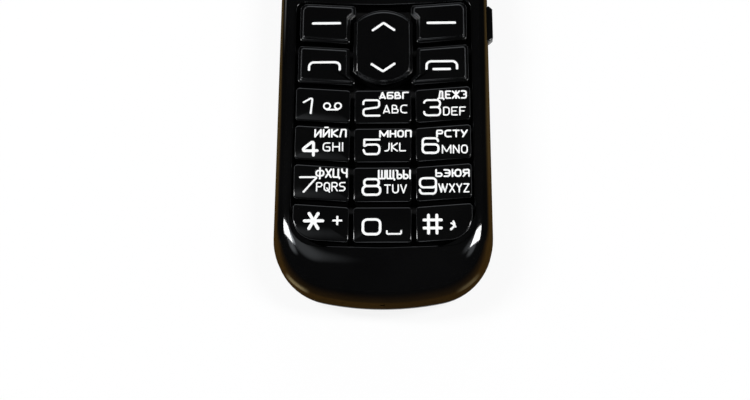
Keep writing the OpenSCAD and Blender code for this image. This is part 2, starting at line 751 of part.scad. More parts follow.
module display_window() color([0.02, 0.02, 0.03, 0.9])
  plate(box_outline(0, disp_y, window_w, window_l, window_r - fit_gap), body_t - window_t, body_t);

module window_gasket() color(soft_black) difference() {
  plate(box_outline(0, disp_y, disp_w, disp_l, frame_r), gasket_z, gasket_z + gasket_t);
  plate(box_outline(0, disp_y, view_w + 2 * gasket_in, view_l + 2 * gasket_in, frame_r),
    gasket_z - cut, body_t);
}

module display_module() color([0.1, 0.12, 0.14]) {
  glass_t = disp_t / 2;
  plate(box_outline(0, disp_y, disp_w, disp_l, disp_rim), disp_z, disp_z + glass_t);
  plate(box_outline(0, disp_y, disp_w - 2 * disp_rim, disp_l - 2 * disp_rim, disp_rim),
    disp_z + glass_t / 2, disp_z + disp_t);
}

module display_holder() color(soft_black) {
  w = disp_w + 2 * (holder_gap + holder_wall);
  l = disp_l + 2 * (holder_gap + holder_wall);
  difference() {
    plate(box_outline(0, disp_y, w, l, frame_r), board_top + fit_gap, disp_z + disp_t / 2);
    plate(box_outline(0, disp_y, disp_w + 2 * holder_gap, disp_l + 2 * holder_gap, disp_rim),
      disp_z - fit_gap, disp_z + disp_t);
    plate(box_outline(0, disp_y, disp_w - 2 * holder_wall, disp_l - 2 * holder_wall, disp_rim),
      board_top - cut, disp_z + disp_t);
  }
}

module shield_can() color("silver") difference() {
  w = disp_w - 2 * shield_side;
  l = disp_l - 2 * shield_end;
  z = board_top + fit_gap;
  plate(box_outline(0, disp_y, w, l, shield_r), z, z + shield_h);
  plate(box_outline(0, disp_y, w - 2 * shield_sheet, l - 2 * shield_sheet, shield_r - shield_sheet),
    z - cut, z + shield_h - shield_sheet);
}

module earpiece() color("dimgray") {
  plate(box_outline(0, ear_y, ear_w, ear_l, ear_r), ear_z, ear_z + ear_t * 0.8);
  plate(box_outline(0, ear_y, ear_w - 2 * ear_rim, ear_l - 2 * ear_rim, ear_r - ear_rim),
    ear_z + ear_t * 0.7, ear_z + ear_t);
}

module earpiece_mesh() color("gray")
  plate(box_outline(0, ear_y, ear_slot_w + 2 * mesh_lap, ear_slot_l + 2 * mesh_end_lap, mesh_end_lap),
    ear_z + ear_t + fit_gap, ear_z + ear_t + fit_gap + mesh_t);

module keymat() color([0.25, 0.25, 0.27]) {
  difference() {
    plate(well_outline(well_wall - fit_gap), foil_top + fit_gap, mat_top);
    plate(well_outline(well_wall - fit_gap - mat_foot_w), foil_top, mat_z);
    for (p = all_domes()) pin(p.x, p.y, foil_top, mat_top + cut, stem_r + stem_gap);
  }
  block([-nav_rib_w / 2, nav_rib_w / 2], [nav_y - stem_r / 2, nav_y + stem_r / 2],
    [mat_top - fit_gap, cap_z - stop_gap]);
}

module dome_sheet() color("gold") {
  ball_r = (dome_r * dome_r + dome_h * dome_h) / (2 * dome_h);
  plate(well_outline(well_wall - fit_gap), foil_z, foil_top);
  for (p = all_domes()) intersection() {
    translate([p.x, p.y, foil_top + dome_h - ball_r]) sphere(r = ball_r, $fn = round_fn);
    pin(p.x, p.y, foil_top - foil_t / 2, foil_top + dome_h + cut, dome_r);
  }
}

module main_board() color([0.05, 0.3, 0.15]) difference() {
  g = wall + board_gap;
  plate(outline(g, board_back, g), board_z, board_top);
  pillars(screw_r + 2 * fit_gap, board_z - cut, board_top + cut);
}

module microphone() color("silver") {
  z = board_top + fit_gap;
  pin(0, y_chin + wall + board_gap + mic_gap + mic_r, z, z + mic_h, mic_r);
}

module loudspeaker() color("dimgray") {
  z = wall + fit_gap;
  plate(box_outline(0, speaker_y, speaker_w, speaker_l, speaker_r), z + speaker_front, z + speaker_t);
  plate(box_outline(0, speaker_y, speaker_w - 2 * speaker_rim, speaker_l - 2 * speaker_rim,
    speaker_r - speaker_rim), z, z + 2 * speaker_front);
}

module vibration_motor() color("silver") {
  y = bulkhead_y + fit_gap + motor_r;
  z = wall + fit_gap;
  pin(-motor_x, y, z, z + motor_t, motor_r);
  pin(-motor_x, y, z + motor_t / 2, z + motor_t + motor_cap_h, motor_r / 2);
}

module audio_jack() color(soft_black) difference() {
  union() {
    block([jack_x - jack_w / 2, jack_x + jack_w / 2], [jack_back_y, jack_y], [jack_z, jack_z + jack_h]);
    translate([jack_x, jack_y + jack_nose, jack_z + jack_h / 2]) rotate([90, 0, 0])
      cylinder(h = jack_nose + cut, r = jack_r + jack_wall, $fn = round_fn);
  }
  translate([jack_x, jack_y + jack_nose + cut, jack_z + jack_h / 2]) rotate([90, 0, 0])
    cylinder(h = jack_depth + cut, r = jack_r, $fn = round_fn);
}

module charging_socket() color("silver") {
  z = charge_z;
  t = charge_sheet;
  difference() {
    plate(box_outline(-charge_x, charge_y - charge_l / 2, charge_w, charge_l, charge_r),
      z, z + charge_h);
    block([-charge_x - charge_w / 2 + t, -charge_x + charge_w / 2 - t],
      [charge_y - charge_l + 3 * t, charge_y + cut], [z + t, z + charge_h - t]);
  }
  block([-charge_x - charge_w / 4, -charge_x + charge_w / 4],
    [charge_y - charge_l + t, charge_y - 2 * t], [z + charge_h / 2 - t, z + charge_h / 2 + t]);
}

// Wide across the chin end, clear of the screws
module antenna_carrier() color(soft_black) difference() {
  t = antenna_wall;
  block([-antenna_w / 2, antenna_w / 2], [antenna_y, antenna_y + antenna_l],
    [antenna_z, web_z - fit_gap]);
  block([-antenna_w / 2 + t, antenna_w / 2 - t], [antenna_y + t, antenna_y + antenna_l - t],
    [antenna_z + t, web_z]);
}

module antenna() color("goldenrod") {
  z = antenna_z - fit_gap - strip_t;
  low = antenna_y + strip_bridge;
  high = antenna_y + antenna_l - strip_bridge;
  difference() {
    block([-antenna_w / 2, antenna_w / 2], [antenna_y, antenna_y + antenna_l], [z, z + strip_t]);
    for (i = [-1:1])
      block([i * antenna_w / 4 - strip_slot_w / 2, i * antenna_w / 4 + strip_slot_w / 2],
        i == 0 ? [antenna_y - cut, high] : [low, antenna_y + antenna_l + cut], [z - cut, z + cut]);
  }
}

module battery_contacts() {
  z = batt_z + batt_t / 2;
  color(soft_black) block([-contact_w / 2, contact_w / 2], [contact_y, contact_y + contact_l],
    [batt_z + batt_t / 3, board_z - fit_gap]);
  color("gold") for (i = [-1:1])
    block([i * blade_pitch - blade_w / 2, i * blade_pitch + blade_w / 2],
      [contact_y - bay_gap + fit_gap, contact_y + contact_l / 2], [z, z + blade_h]);
}

module battery() color([0.3, 0.32, 0.34]) {
  plate(box_outline(0, batt_y + batt_l / 2, batt_w, batt_l, batt_r), batt_z, batt_z + batt_t);
}

// Open towards the chin, where the card slides in, with a wide notch in its floor
module sim_holder() color("silver") difference() {
  x = card_w / 2;
  low = card_y - card_l / 2;
  z = web_z - web_t;
  block([-x - card_rim, x + card_rim], [low, low + card_l + card_rim], [z, board_z - fit_gap]);
  block([-x - fit_gap, x + fit_gap], [low - cut, low + card_l],
    [z + card_sheet, z + card_sheet + card_slot_h]);
  block([-x + card_rim, x - card_rim], [low - cut, card_y + card_l / 4], [z - cut, z + 2 * card_sheet]);
}

module rear_shell() color(soft_black) difference() {
  union() {
    // Plate behind the board
    plate(outline(wall + fit_gap * 4, board_back, wall + fit_gap * 4), web_z, web_z + web_t);
    // Battery and card bay
    block([-bay_half, bay_half], [card_bay_y, bay_top_y], [bay_z, web_z + web_t / 2]);
    // Rails for the cover's lips
    block([-rail_x, rail_x], [chin_roll_y + rail_start, bay_top_y], [rail_z, rail_z + rail_t]);
    // Fixed upper back
    intersection() {
      difference() {
        body(0);
        difference() {
          body(wall);
          block([-body_w, body_w], [cover_y, bulkhead_y], [0, body_t]);
        }
      }
      block([-body_w, body_w], [cover_y, body_l], [-cut, seam_z - seam]);
    }
    // Bulkhead up to the plate
    block([-half_w + wall + bulkhead_gap, half_w - wall - bulkhead_gap], [cover_y, bulkhead_y],
      [seam_z - cut, web_z + web_t / 2]);
  }
  // Pocket for the battery and its contacts
  block([-batt_w / 2 - bay_gap, batt_w / 2 + bay_gap],
    [batt_y - bay_gap, bay_top_y - bay_wall], [bay_z - cut, web_z]);
  // Pocket for the card
  block([-bay_half + bay_wall, bay_half - bay_wall],
    [card_bay_y + bay_wall, card_top_y], [bay_z - cut, web_z]);
  // Windows for the contacts and the card holder, which sit on the board
  block([-contact_w / 2 - contact_gap, contact_w / 2 + contact_gap],
    [contact_y - window_gap, bay_top_y - bay_wall], [bay_z, board_z]);
  block([-card_w / 2 - card_rim - window_gap, card_w / 2 + card_rim + window_gap],
    [card_y - card_l / 2 - window_gap, card_y + card_l / 2 + card_rim + window_gap], [bay_z, board_z]);
  // Room for the two sockets, which hang under the board
  block([jack_x - jack_w / 2 - mouth_gap, jack_x + jack_w / 2 + mouth_gap],
    [jack_back_y - mouth_gap, jack_y + mouth_gap], [jack_z - mouth_gap, board_z]);
  block([-charge_x - charge_w / 2 - mouth_gap, -charge_x + charge_w / 2 + mouth_gap],
    [charge_y - charge_l - mouth_gap, y_top - wall - mouth_gap], [charge_z - mouth_gap, board_z]);
  socket_mouths();
  // Slots of the loudspeaker
  for (i = [-2:2]) plate(box_outline(i * speaker_slot_pitch, speaker_y, speaker_slot_w, speaker_slot_l,
    speaker_slot_w / 2 - fit_gap), -cut, wall + cut);
  // Screw holes
  pillars(screw_r + 2 * fit_gap, web_z - cut, web_z + web_t + cut);
}

module battery_cover() color(piece_black) {
  difference() {
    intersection() {
      body(0);
      block([-body_w, body_w], [-body_l, cover_y - seam], [-cut, seam_z - seam]);
    }
    body(cover_wall);
  }
  intersection() {
    body(cover_wall / 2);
    both_sides() block([lip_x, half_w], [chin_roll_y, cover_y - seam], [lip_z, lip_z + lip_t]);
  }
}

module screw(x, y) {
  z = web_z - fit_gap - head_h;
  difference() {
    union() {
      pin(x, y, z, z + head_h, head_r);
      pin(x, y, z + head_h / 2, z + head_h + screw_l, screw_r);
    }
    for (a = [0, 90]) translate([x, y, z]) rotate([0, 0, a])
      cube([head_r * 1.2, screw_slot_w, head_h], center = true);
  }
}

module screws() color("silver") both_sides() {
  screw(screw_top.x, screw_top.y);
  screw(screw_chin.x, screw_chin.y);
}

front_shell();
display_window();
window_gasket();
display_module();
display_holder();
earpiece();
earpiece_mesh();
keymat();
dome_sheet();
main_board();
shield_can();
side_switch();
microphone();
loudspeaker();
vibration_motor();
audio_jack();
charging_socket();
antenna_carrier();
antenna();
battery_contacts();
battery();
sim_holder();
rear_shell();
battery_cover();
screws();
side_key();
key_soft_left();
key_soft_right();
key_call();
key_end();
key_nav();
key_1();
key_2();
key_3();
key_4();
key_5();
key_6();
key_7();
key_8();
key_9();
key_star();
key_0();
key_hash();
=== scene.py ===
# A small bar phone with a number keypad, lying on its back on a pale table.
# Shapes are worked out in millimetres in the phone's own frame and turned to metres at the end.
# Places inside the materials are in metres, because the pieces are.
import json
from math import acos, asin, atan2, cos, pi, radians, sin, sqrt, tan

import bmesh
import bpy
from mathutils import Matrix, Vector


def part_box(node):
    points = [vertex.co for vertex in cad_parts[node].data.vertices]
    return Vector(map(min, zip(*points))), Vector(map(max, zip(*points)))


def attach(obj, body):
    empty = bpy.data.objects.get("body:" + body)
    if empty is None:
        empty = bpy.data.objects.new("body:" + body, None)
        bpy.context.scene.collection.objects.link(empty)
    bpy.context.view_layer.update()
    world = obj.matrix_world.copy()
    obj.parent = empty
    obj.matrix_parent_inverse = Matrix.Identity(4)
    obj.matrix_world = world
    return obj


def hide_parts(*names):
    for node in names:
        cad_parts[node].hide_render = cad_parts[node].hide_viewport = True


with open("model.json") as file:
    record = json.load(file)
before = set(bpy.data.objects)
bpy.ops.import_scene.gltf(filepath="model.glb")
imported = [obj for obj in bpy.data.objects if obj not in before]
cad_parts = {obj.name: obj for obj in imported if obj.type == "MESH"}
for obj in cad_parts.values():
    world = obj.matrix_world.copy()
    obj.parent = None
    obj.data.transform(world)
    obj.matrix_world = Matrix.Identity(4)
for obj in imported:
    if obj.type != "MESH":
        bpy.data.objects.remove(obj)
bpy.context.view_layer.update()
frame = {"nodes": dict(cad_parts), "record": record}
MM = 0.001

# Body of the phone, as in the part: half sizes, outline radii, then how far each edge rolls in
HALF_W, HALF_L, FACE_Z = 22.75, 53.0, 14.0
CHIN_R, TOP_R, END_R = 13.0, 10.0, 61.0
SIDE_ROLL, CHIN_ROLL, TOP_ROLL, ROLL_Z = 3.5, 10.0, 7.0, 9.0
BACK_ROLL, BACK_ROLL_Z = 5.0, 6.0
WALL, COVER_WALL, SEAM_Z, SEAM = 1.2, 1.1, 6.0, 0.15

# Keypad: columns, rows of number keys, rows of function keys, heights, rocker, bevel
PAD_HALF, MID_W, COL_GAP = 18.35, 11.9, 0.95
SIDE_X = MID_W / 2 + COL_GAP
ROW_H, ROW_PITCH, NUM_TOP = 7.5, 8.65, -7.7
CALL_Y, CALL_H, SOFT_Y, SOFT_H = -6.5, 8.5, 3.2, 8.9
PAD_LOW, PAD_TOP = -41.15, 12.1
SMILE_R, KEY_Z, KEY_TOP, PILLOW_R = 176.0, 10.48, 14.5, 20.0
NAV_Y, NAV_W, NAV_END, NAV_ARCH = 2.5, 12.7, 5.7, 3.0
NAV_GAP = 0.7
BEVEL_W, BEVEL_H = 0.95, 0.45
INK = 0.05


# ---- points of outlines ----

def smile(x):
    """How far the keypad's rows rise towards the sides."""
    return SMILE_R - sqrt(SMILE_R * SMILE_R - x * x)


def arc(centre, radius, start, end, steps):
    return [centre + radius * Vector((cos(a), sin(a)))
            for a in (start + (end - start) * i / steps for i in range(steps + 1))]


def inset(points, d):
    """A polygon, listed anticlockwise, with every edge moved in by d."""
    moved = []
    for i, p in enumerate(points):
        e = (p - points[i - 1]).normalized()
        f = (points[(i + 1) % len(points)] - p).normalized()
        n, m = Vector((-e.y, e.x)), Vector((-f.y, f.x))
        moved.append(p + d * (n + m) / (1 + n.dot(m)))
    return moved


def corner(a, b, c, r, steps):
    """Arc that rounds the corner b between a and c."""
    u, v = (a - b).normalized(), (c - b).normalized()
    half = acos(max(-1, min(1, u.dot(v)))) / 2
    m = b + (u + v).normalized() * r / sin(half)
    p, q = b + u * r / tan(half) - m, b + v * r / tan(half) - m
    start = atan2(p.y, p.x)
    turn = atan2(p.x * q.y - p.y * q.x, p.dot(q))
    return arc(m, r, start, start + turn, steps)


def rounded(points, radii, steps=6):
    """A polygon with each corner rounded by its own radius."""
    made = []
    for i, b in enumerate(points):
        made += corner(points[i - 1], b, points[(i + 1) % len(points)], radii[i], steps)
    return made


def box_outline(x, y, w, l, r, steps=8):
    corners = [(w, l), (-w, l), (-w, -l), (w, -l)]
    return rounded([Vector((x + a / 2, y + b / 2)) for a, b in corners], [r] * 4, steps)


def end_outline(half, reach, corner):
    """Corner, bowed end and corner, seen from above, for the end that points to +Y."""
    steps = 14
    dx = half - corner
    b = asin(dx / (END_R - corner))
    bow_y = reach - END_R
    cy = bow_y + (END_R - corner) * cos(b)
    bow = arc(Vector((0, bow_y)), END_R, pi / 2 - b, pi / 2 + b, steps)
    return (arc(Vector((dx, cy)), corner, 0, pi / 2 - b, steps) + bow[1:-1]
            + arc(Vector((-dx, cy)), corner, pi / 2 + b, pi, steps))


def body_outline(side, top, chin, marks=()):
    """Outline of the body with its sides, top end and chin moved in; marks are places on the sides."""
    half = HALF_W - side
    upper = end_outline(half, HALF_L - top, TOP_R - side)
    lower = [-p for p in end_outline(half, HALF_L - chin, CHIN_R - side)]
    left = [Vector((-half, y)) for y in sorted(marks, reverse=True)]
    right = [Vector((half, y)) for y in sorted(marks)]
    return upper + left + lower + right


def well_outline(grow):
    """The keypad well, grown all round."""
    hx = PAD_HALF + 0.5 + grow
    top, low, mid = PAD_TOP + 0.5 + grow, PAD_LOW - 0.9 - grow, PAD_HALF * 0.6
    corners = [(hx, top), (mid, top), (0, top), (-mid, top), (-hx, top),
               (-hx, low), (-mid, low), (0, low), (mid, low), (hx, low)]
    soft, star = 1.9 + grow, 5.5 + grow
    radii = [soft, 40, 60, 40, soft, star, 40, 60, 40, star]
    return rounded([Vector((x, y + smile(x))) for x, y in corners], radii)


# ---- meshes ----

def ring(bm, points, z):
    """A closed loop of edges through the points; z is a height or a height for each point."""
    loop = bmesh.ops.create_circle(bm, cap_ends=False, radius=1, segments=len(points))["verts"]
    place(loop, points, z)
    return loop


def place(loop, points, z):
    for v, p in zip(loop, points):
        v.co = (p.x, p.y, z(p) if callable(z) else z)


def rise(bm, loop, points, z):
    """Extrudes a loop and puts the new one at the points."""
    # A stroke's pair of points gives its one edge twice
    edges = dict.fromkeys(bm.edges.get((loop[i - 1], v)) for i, v in enumerate(loop))
    made = bmesh.ops.extrude_edge_only(bm, edges=list(edges))["geom"]
    fresh = [g for g in made if isinstance(g, bmesh.types.BMVert)]
    old = set(loop)
    by_old = {}
    for v in fresh:
        for e in v.link_edges:
            other = e.other_vert(v)
            if other in old:
                by_old[other] = v
    new = [by_old[v] for v in loop]
    place(new, points, z)
    return new


def cap(bm, loop):
    """Closes a loop with one flat face."""
    edges = [bm.edges.get((loop[i - 1], v)) for i, v in enumerate(loop)]
    bmesh.ops.contextual_create(bm, geom=edges)


def fill_flat(bm, *loops):
    """A flat face with holes: the outer loop first, then one for each hole."""
    edges = [bm.edges.get((loop[i - 1], v)) for loop in loops for i, v in enumerate(loop)]
    bmesh.ops.triangle_fill(bm, edges=edges, use_beauty=True, normal=(0, 0, 1))


def quarter(radius, steps=5):
    """Height below the top and distance from the wall, from the wall up to the flat."""
    return [(radius * (1 - sin(pi / 2 * i / steps)), radius * (1 - cos(pi / 2 * i / steps)))
            for i in range(steps + 1)]


def settle(bm):
    """Puts edges and faces in the order of their points, which extruding leaves to chance."""
    bm.verts.index_update()
    count = len(bm.verts)

    def rank(part):
        a, b, c = (sorted(v.index for v in part.verts) + [0])[:3]
        return (a * count + b) * count + c

    for parts in (bm.edges, bm.faces):
        parts.sort(key=rank)
        parts.index_update()


def finish_mesh(name, bm, material, body, nodes=()):
    """Turns a finished bmesh in millimetres into a piece that rides on its body."""
    sharp = radians(35)
    settle(bm)
    bmesh.ops.scale(bm, vec=(MM, MM, MM), verts=bm.verts)
    bmesh.ops.recalc_face_normals(bm, faces=bm.faces)
    for e in bm.edges:
        e.smooth = len(e.link_faces) == 2 and e.calc_face_angle(0) < sharp
    for f in bm.faces:
        f.smooth = True
    mesh = bpy.data.meshes.new(name)
    bm.to_mesh(mesh)
    bm.free()
    piece = bpy.data.objects.new(name, mesh)
    bpy.context.scene.collection.objects.link(piece)
    mesh.materials.append(material)
    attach(piece, body)
    if nodes:
        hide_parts(*nodes)


# ---- materials ----

class Value:
    """A socket's value inside a material; arithmetic on it adds Math nodes."""

    def __init__(self, finish, socket):
        self.finish = finish
        self.socket = socket

    def math(self, operation, first, second):
        return self.finish.node("ShaderNodeMath", {"operation": operation}, {0: first, 1: second})

    def __add__(self, other):
        return self.math("ADD", self, other)

    __radd__ = __add__

    def __sub__(self, other):
        return self.math("SUBTRACT", self, other)

    def __rsub__(self, other):
        return self.math("SUBTRACT", other, self)

    def __mul__(self, other):
        return self.math("MULTIPLY", self, other)

    __rmul__ = __mul__

    def __truediv__(self, other):
        return self.math("DIVIDE", self, other)

    def __abs__(self):
        return self.math("ABSOLUTE", self, 0.0)


class Finish:
    """A material built from nodes, on the piece's Object coordinates."""

    def __init__(self, name, tree=None):
        if tree is None:
            self.material = bpy.data.materials.new(name)
            self.material.use_nodes = True
            tree = self.material.node_tree
        self.tree = tree
        self.tree.nodes.clear()
        self.at = self.node("ShaderNodeTexCoord", out="Object")

    def node(self, kind, settings=None, sockets=None, out=0):
        made = self.tree.nodes.new(kind)
        for key, value in (settings or {}).items():
            setattr(made, key, value)
        for key, value in (sockets or {}).items():
            if isinstance(value, Value):
                self.tree.links.new(made.inputs[key], value.socket)
            else:
                made.inputs[key].default_value = value
        return Value(self, made.outputs[out]) if made.outputs else None

    def split(self, out):
        return self.node("ShaderNodeSeparateXYZ", {}, {"Vector": self.at}, out)

    def noise(self, scale, detail=4.0):
        return self.node("ShaderNodeTexNoise", {},
                         {"Vector": self.at, "Scale": scale, "Detail": detail, "Roughness": 0.55})

    def step(self, value, low, high, to_low=0.0, to_high=1.0):
        return self.node("ShaderNodeMapRange", {"interpolation_type": "SMOOTHSTEP"},
                         {"Value": value, "From Min": low, "From Max": high,
                          "To Min": to_low, "To Max": to_high})

    def ramp(self, value, low, high):
        return self.node("ShaderNodeMapRange", {}, {"Value": value, "From Min": low, "From Max": high})

    def blend(self, factor, first, second):
        def colour(c):
            return c if isinstance(c, Value) else (*c, 1)
        return self.node("ShaderNodeMix", {"data_type": "RGBA"},
                         {0: factor, 6: colour(first), 7: colour(second)}, out=2)

    def bump(self, height, distance):
        return self.node("ShaderNodeBump", {}, {"Height": height, "Distance": distance}, out="Normal")

    def surface(self, sockets):
        shader = self.node("ShaderNodeBsdfPrincipled", {},
                           {k: (*v, 1) if isinstance(v, tuple) and len(v) == 3 else v
                            for k, v in sockets.items()})
        self.node("ShaderNodeOutputMaterial", {}, {"Surface": shader})
        return self.material


def lacquer_black(f, haze):
    """Piano black with a faint haze."""
    return f.blend(f.step(haze, 0.35, 0.75), (0.0018, 0.0018, 0.0019), (0.0026, 0.0026, 0.0027))


def orange_peel(f):
    """The slight waviness of a lacquered surface."""
    return f.bump(f.noise(420.0, 1.0), 0.000002)


def key_lacquer():
    """Black piano lacquer with a faint orange peel and fine handling marks."""
    f = Finish("key_lacquer")
    marks = f.noise(900.0, 2.0)
    return f.surface({"Base Color": lacquer_black(f, f.noise(60.0, 3.0)),
                      "Roughness": 0.07 + marks * 0.05, "Normal": orange_peel(f)})


def shell_lacquer():
    """Black piano lacquer on the face, fading to satin on the rim, whose warm brown colour is a painted
    reflection of warm surroundings, with painted highlights at the chin's corners.
    """
    f = Finish("shell_lacquer")
    x, y, z = f.split("X"), f.split("Y"), f.split("Z")

    # Places, each from 0 to 1: off the chin, up the phone, left half, inside the keypad well
    sides = f.ramp(y, -0.0525, -0.0410)
    upper = f.step(y, -0.025, 0.017)
    left = f.step(x, -0.001, 0.001, 1, 0)
    well = (f.step(abs(x), 0.0193, 0.0196, 1, 0) * f.step(y, -0.0434, -0.0430)
            * f.step(y, 0.0134, 0.0136, 1, 0))

    # The painted reflection on the rim ends in a quick step and a slower fade, and is weaker on the
    # right of the chin
    below = z - (0.0102 + sides * 0.0023 - upper * 0.0004)
    fade = below / (0.0016 - sides * 0.0011)
    rim = f.step(below, -0.00045, 0.00025, 0.6, 0) + f.step(fade, 0, 1, 0.4, 0)
    rim = rim * (1 - well) * (1 - (1 - left) * (1 - sides) * 0.2)

    # Below the shoulder the shell is satin, but for the well and a thin line up the left side
    line = f.step(z, 0.01272, 0.01284) * f.step(z, 0.0131, 0.0132, 1, 0) * left * f.step(y, 0.0, 0.022)
    shoulder = 0.0118 + sides * 0.0009 + f.step(y, -0.0404, -0.0386) * 0.0008
    dull = f.step(z - shoulder, 0.0, 0.0002, 1, 0) * (1 - well) * (1 - line)

    # Painted highlight: a paler spot at both corners of the chin, stronger on the left
    from_x, from_y = abs(x) - 0.0176, y + 0.0488
    painted_glint = (f.step(from_x * from_x + from_y * from_y, 0.0, 0.000012, 1, 0)
            * f.step(abs(z - 0.0104), 0.0002, 0.0008, 1, 0) * (0.45 + left * 0.55))

    haze = f.noise(60.0, 3.0)
    marks = f.noise(900.0, 2.0)
    # Colour of the painted reflection on the rim: warm brown, darker towards the chin
    painted_reflection = f.blend(haze, (0.038, 0.024, 0.008), (0.050, 0.032, 0.012))
    deep_painted_reflection = f.blend(haze, (0.028, 0.014, 0.0034), (0.037, 0.020, 0.0055))
    painted_reflection = f.blend(f.step(y, -0.038, -0.012), deep_painted_reflection, painted_reflection)
    base = f.blend(rim, lacquer_black(f, haze), f.blend(painted_glint, painted_reflection, (0.17, 0.13, 0.065)))
    gloss = f.node("ShaderNodeBsdfPrincipled", {},
                   {"Base Color": base, "Roughness": 0.03 + marks * 0.05, "Normal": orange_peel(f)})
    satin = f.node("ShaderNodeBsdfPrincipled", {},
                   {"Base Color": base, "Roughness": 0.42 + marks * 0.1, "Specular IOR Level": 0.0,
                    "IOR": 1.0})
    mixed = f.node("ShaderNodeMixShader", {}, {0: dull, 1: gloss, 2: satin})
    f.node("ShaderNodeOutputMaterial", {}, {"Surface": mixed})
    return f.material


def legend_print():
    """White printed ink, a little uneven."""
    f = Finish("legend_print")
    patches = f.noise(2500.0, 2.0)
    base = f.blend(patches, (0.86, 0.86, 0.85), (0.95, 0.95, 0.94))
    return f.surface({"Base Color": base, "Roughness": 0.4 + patches * 0.2})


def plain(name, low, high, roughness, scale, metallic, grain, specular=0.5):
    """A colour that varies finely between two tones, with a grain in its gloss and height."""
    f = Finish(name)
    n = f.noise(scale)
    return f.surface({"Base Color": f.blend(n, low, high), "Roughness": roughness + (n - 0.5) * 0.16,
                      "Metallic": metallic, "Specular IOR Level": specular,
                      "Normal": f.bump(f.noise(scale * 4, 2.0), grain)})


def window_tint():
    """Tinted window: clear over the display, printed black round it, with fine scuffs."""
    f = Finish("window_tint")
    low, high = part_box("display_module")
    inset_x, inset_y, soft = 0.0025, 0.002, 0.00012
    middle_y, half_y = (low.y + high.y) / 2, (high.y - low.y) / 2 - inset_y
    x, y = abs(f.split("X")), abs(f.split("Y") - middle_y)
    half_x = high.x - inset_x
    view = f.step(x, half_x - soft, half_x, 1, 0) * f.step(y, half_y - soft, half_y, 1, 0)
    marks = f.noise(900.0, 2.0)
    base = f.blend(view, (0.0020, 0.0020, 0.0021), (0.010, 0.012, 0.014))
    return f.surface({"Base Color": base, "Roughness": 0.02 + marks * 0.04, "Alpha": 1 - view * 0.45,
                      "Normal": f.bump(f.noise(420.0, 1.0), 0.000001)})


def board_mask():
    """Green solder mask over fine traces, with small gold pads."""
    f = Finish("board_mask")
    lanes = f.node("ShaderNodeTexBrick", {"offset": 0.4, "squash": 1.6},
                   {"Vector": f.at, "Scale": 260.0, "Mortar Size": 0.035,
                    "Mortar Smooth": 0.3}, out="Fac")
    cells = f.node("ShaderNodeTexVoronoi", {"feature": "F1"},
                   {"Vector": f.at, "Scale": 520.0}, out="Distance")
    pads = f.step(cells, 0.10, 0.16, 1, 0)
    mask = f.blend(lanes, (0.008, 0.085, 0.032), (0.014, 0.15, 0.055))
    n = f.noise(500.0)
    return f.surface({"Base Color": f.blend(pads, mask, (0.75, 0.55, 0.22)), "Metallic": pads,
                      "Roughness": 0.3 + n * 0.15, "Normal": f.bump(lanes + pads, 0.00001)})


def display_face():
    """Unlit display: a dark cell with a fine grid of dots."""
    f = Finish("display_face")
    grid = f.node("ShaderNodeTexBrick", {"offset": 0.0},
                  {"Vector": f.at, "Scale": 4200.0, "Mortar Size": 0.06,
                   "Brick Width": 0.5, "Row Height": 0.5}, out="Fac")
    base = f.blend(grid, (0.024, 0.030, 0.036), (0.014, 0.017, 0.020))
    return f.surface({"Base Color": base, "Roughness": 0.12 + f.noise(300.0) * 0.08,
                      "Coat Weight": 0.3})


def woven_mesh():
    """Dust mesh: a square weave."""
    f = Finish("woven_mesh")
    x = f.node("ShaderNodeMath", {"operation": "SINE"}, {0: f.split("X") * 21000.0})
    y = f.node("ShaderNodeMath", {"operation": "SINE"}, {0: f.split("Y") * 21000.0})
    weave = x * y
    wire = f.blend(f.step(weave, -0.6, 0.6), (0.03, 0.03, 0.03), (0.2, 0.2, 0.2))
    return f.surface({"Base Color": wire, "Roughness": 0.5 + weave * 0.1, "Metallic": 0.7,
                      "Normal": f.bump(weave, 0.00002)})


key_gloss = key_lacquer()
shell_gloss = shell_lacquer()
legend_white = legend_print()
# For each plain slot: name, two tones, roughness, grain scale, metal share, grain height in metres
slot_finish = {
    "key_gloss": key_gloss,
    "shell_gloss": shell_gloss,
    "cover_satin": plain("cover_paint", (0.007, 0.007, 0.007), (0.011, 0.011, 0.011),
                         0.40, 900.0, 0.0, 5e-6),
    "chassis_plastic": plain("chassis_moulding", (0.009, 0.009, 0.010), (0.015, 0.015, 0.016),
                             0.45, 900.0, 0.0, 6e-6),
    "window_clear": window_tint(),
    "foam": plain("foam_frame", (0.02, 0.02, 0.02), (0.05, 0.05, 0.05), 0.9, 2500.0, 0.0, 4e-5),
    "display_glass": display_face(),
    "holder_plastic": plain("holder_moulding", (0.25, 0.25, 0.24), (0.32, 0.32, 0.31),
                            0.5, 900.0, 0.0, 6e-6),
    "capsule": plain("capsule_case", (0.030, 0.030, 0.032), (0.055, 0.055, 0.058),
                     0.45, 900.0, 0.2, 4e-6),
    "mesh": woven_mesh(),
    "silicone": plain("silicone_mat", (0.0026, 0.0026, 0.0028), (0.0042, 0.0042, 0.0045),
                      0.8, 1200.0, 0.0, 6e-6, specular=0.1),
    "dome_foil": plain("dome_foil", (0.55, 0.38, 0.14), (0.7, 0.5, 0.2), 0.35, 600.0, 1.0, 2e-6),
    "board": board_mask(),
    "tinplate": plain("tinplate", (0.55, 0.55, 0.54), (0.72, 0.72, 0.70), 0.3, 500.0, 1.0, 2e-6),
    "gold": plain("gold_plate", (0.75, 0.52, 0.18), (0.9, 0.65, 0.28), 0.25, 800.0, 1.0, 2e-6),
    "battery_wrap": plain("battery_wrap", (0.10, 0.11, 0.12), (0.15, 0.16, 0.17),
                          0.42, 500.0, 0.0, 4e-6),
    "screw_steel": plain("screw_steel", (0.35, 0.35, 0.36), (0.5, 0.5, 0.5),
                         0.32, 1500.0, 1.0, 2e-6),
}
slot_of = {part["node"]: part["material_slot"] for part in frame["record"]["subparts"]}


# ---- keys ----

def column(c):
    return [(-PAD_HALF, -SIDE_X), (-MID_W / 2, MID_W / 2), (SIDE_X, PAD_HALF)][c]


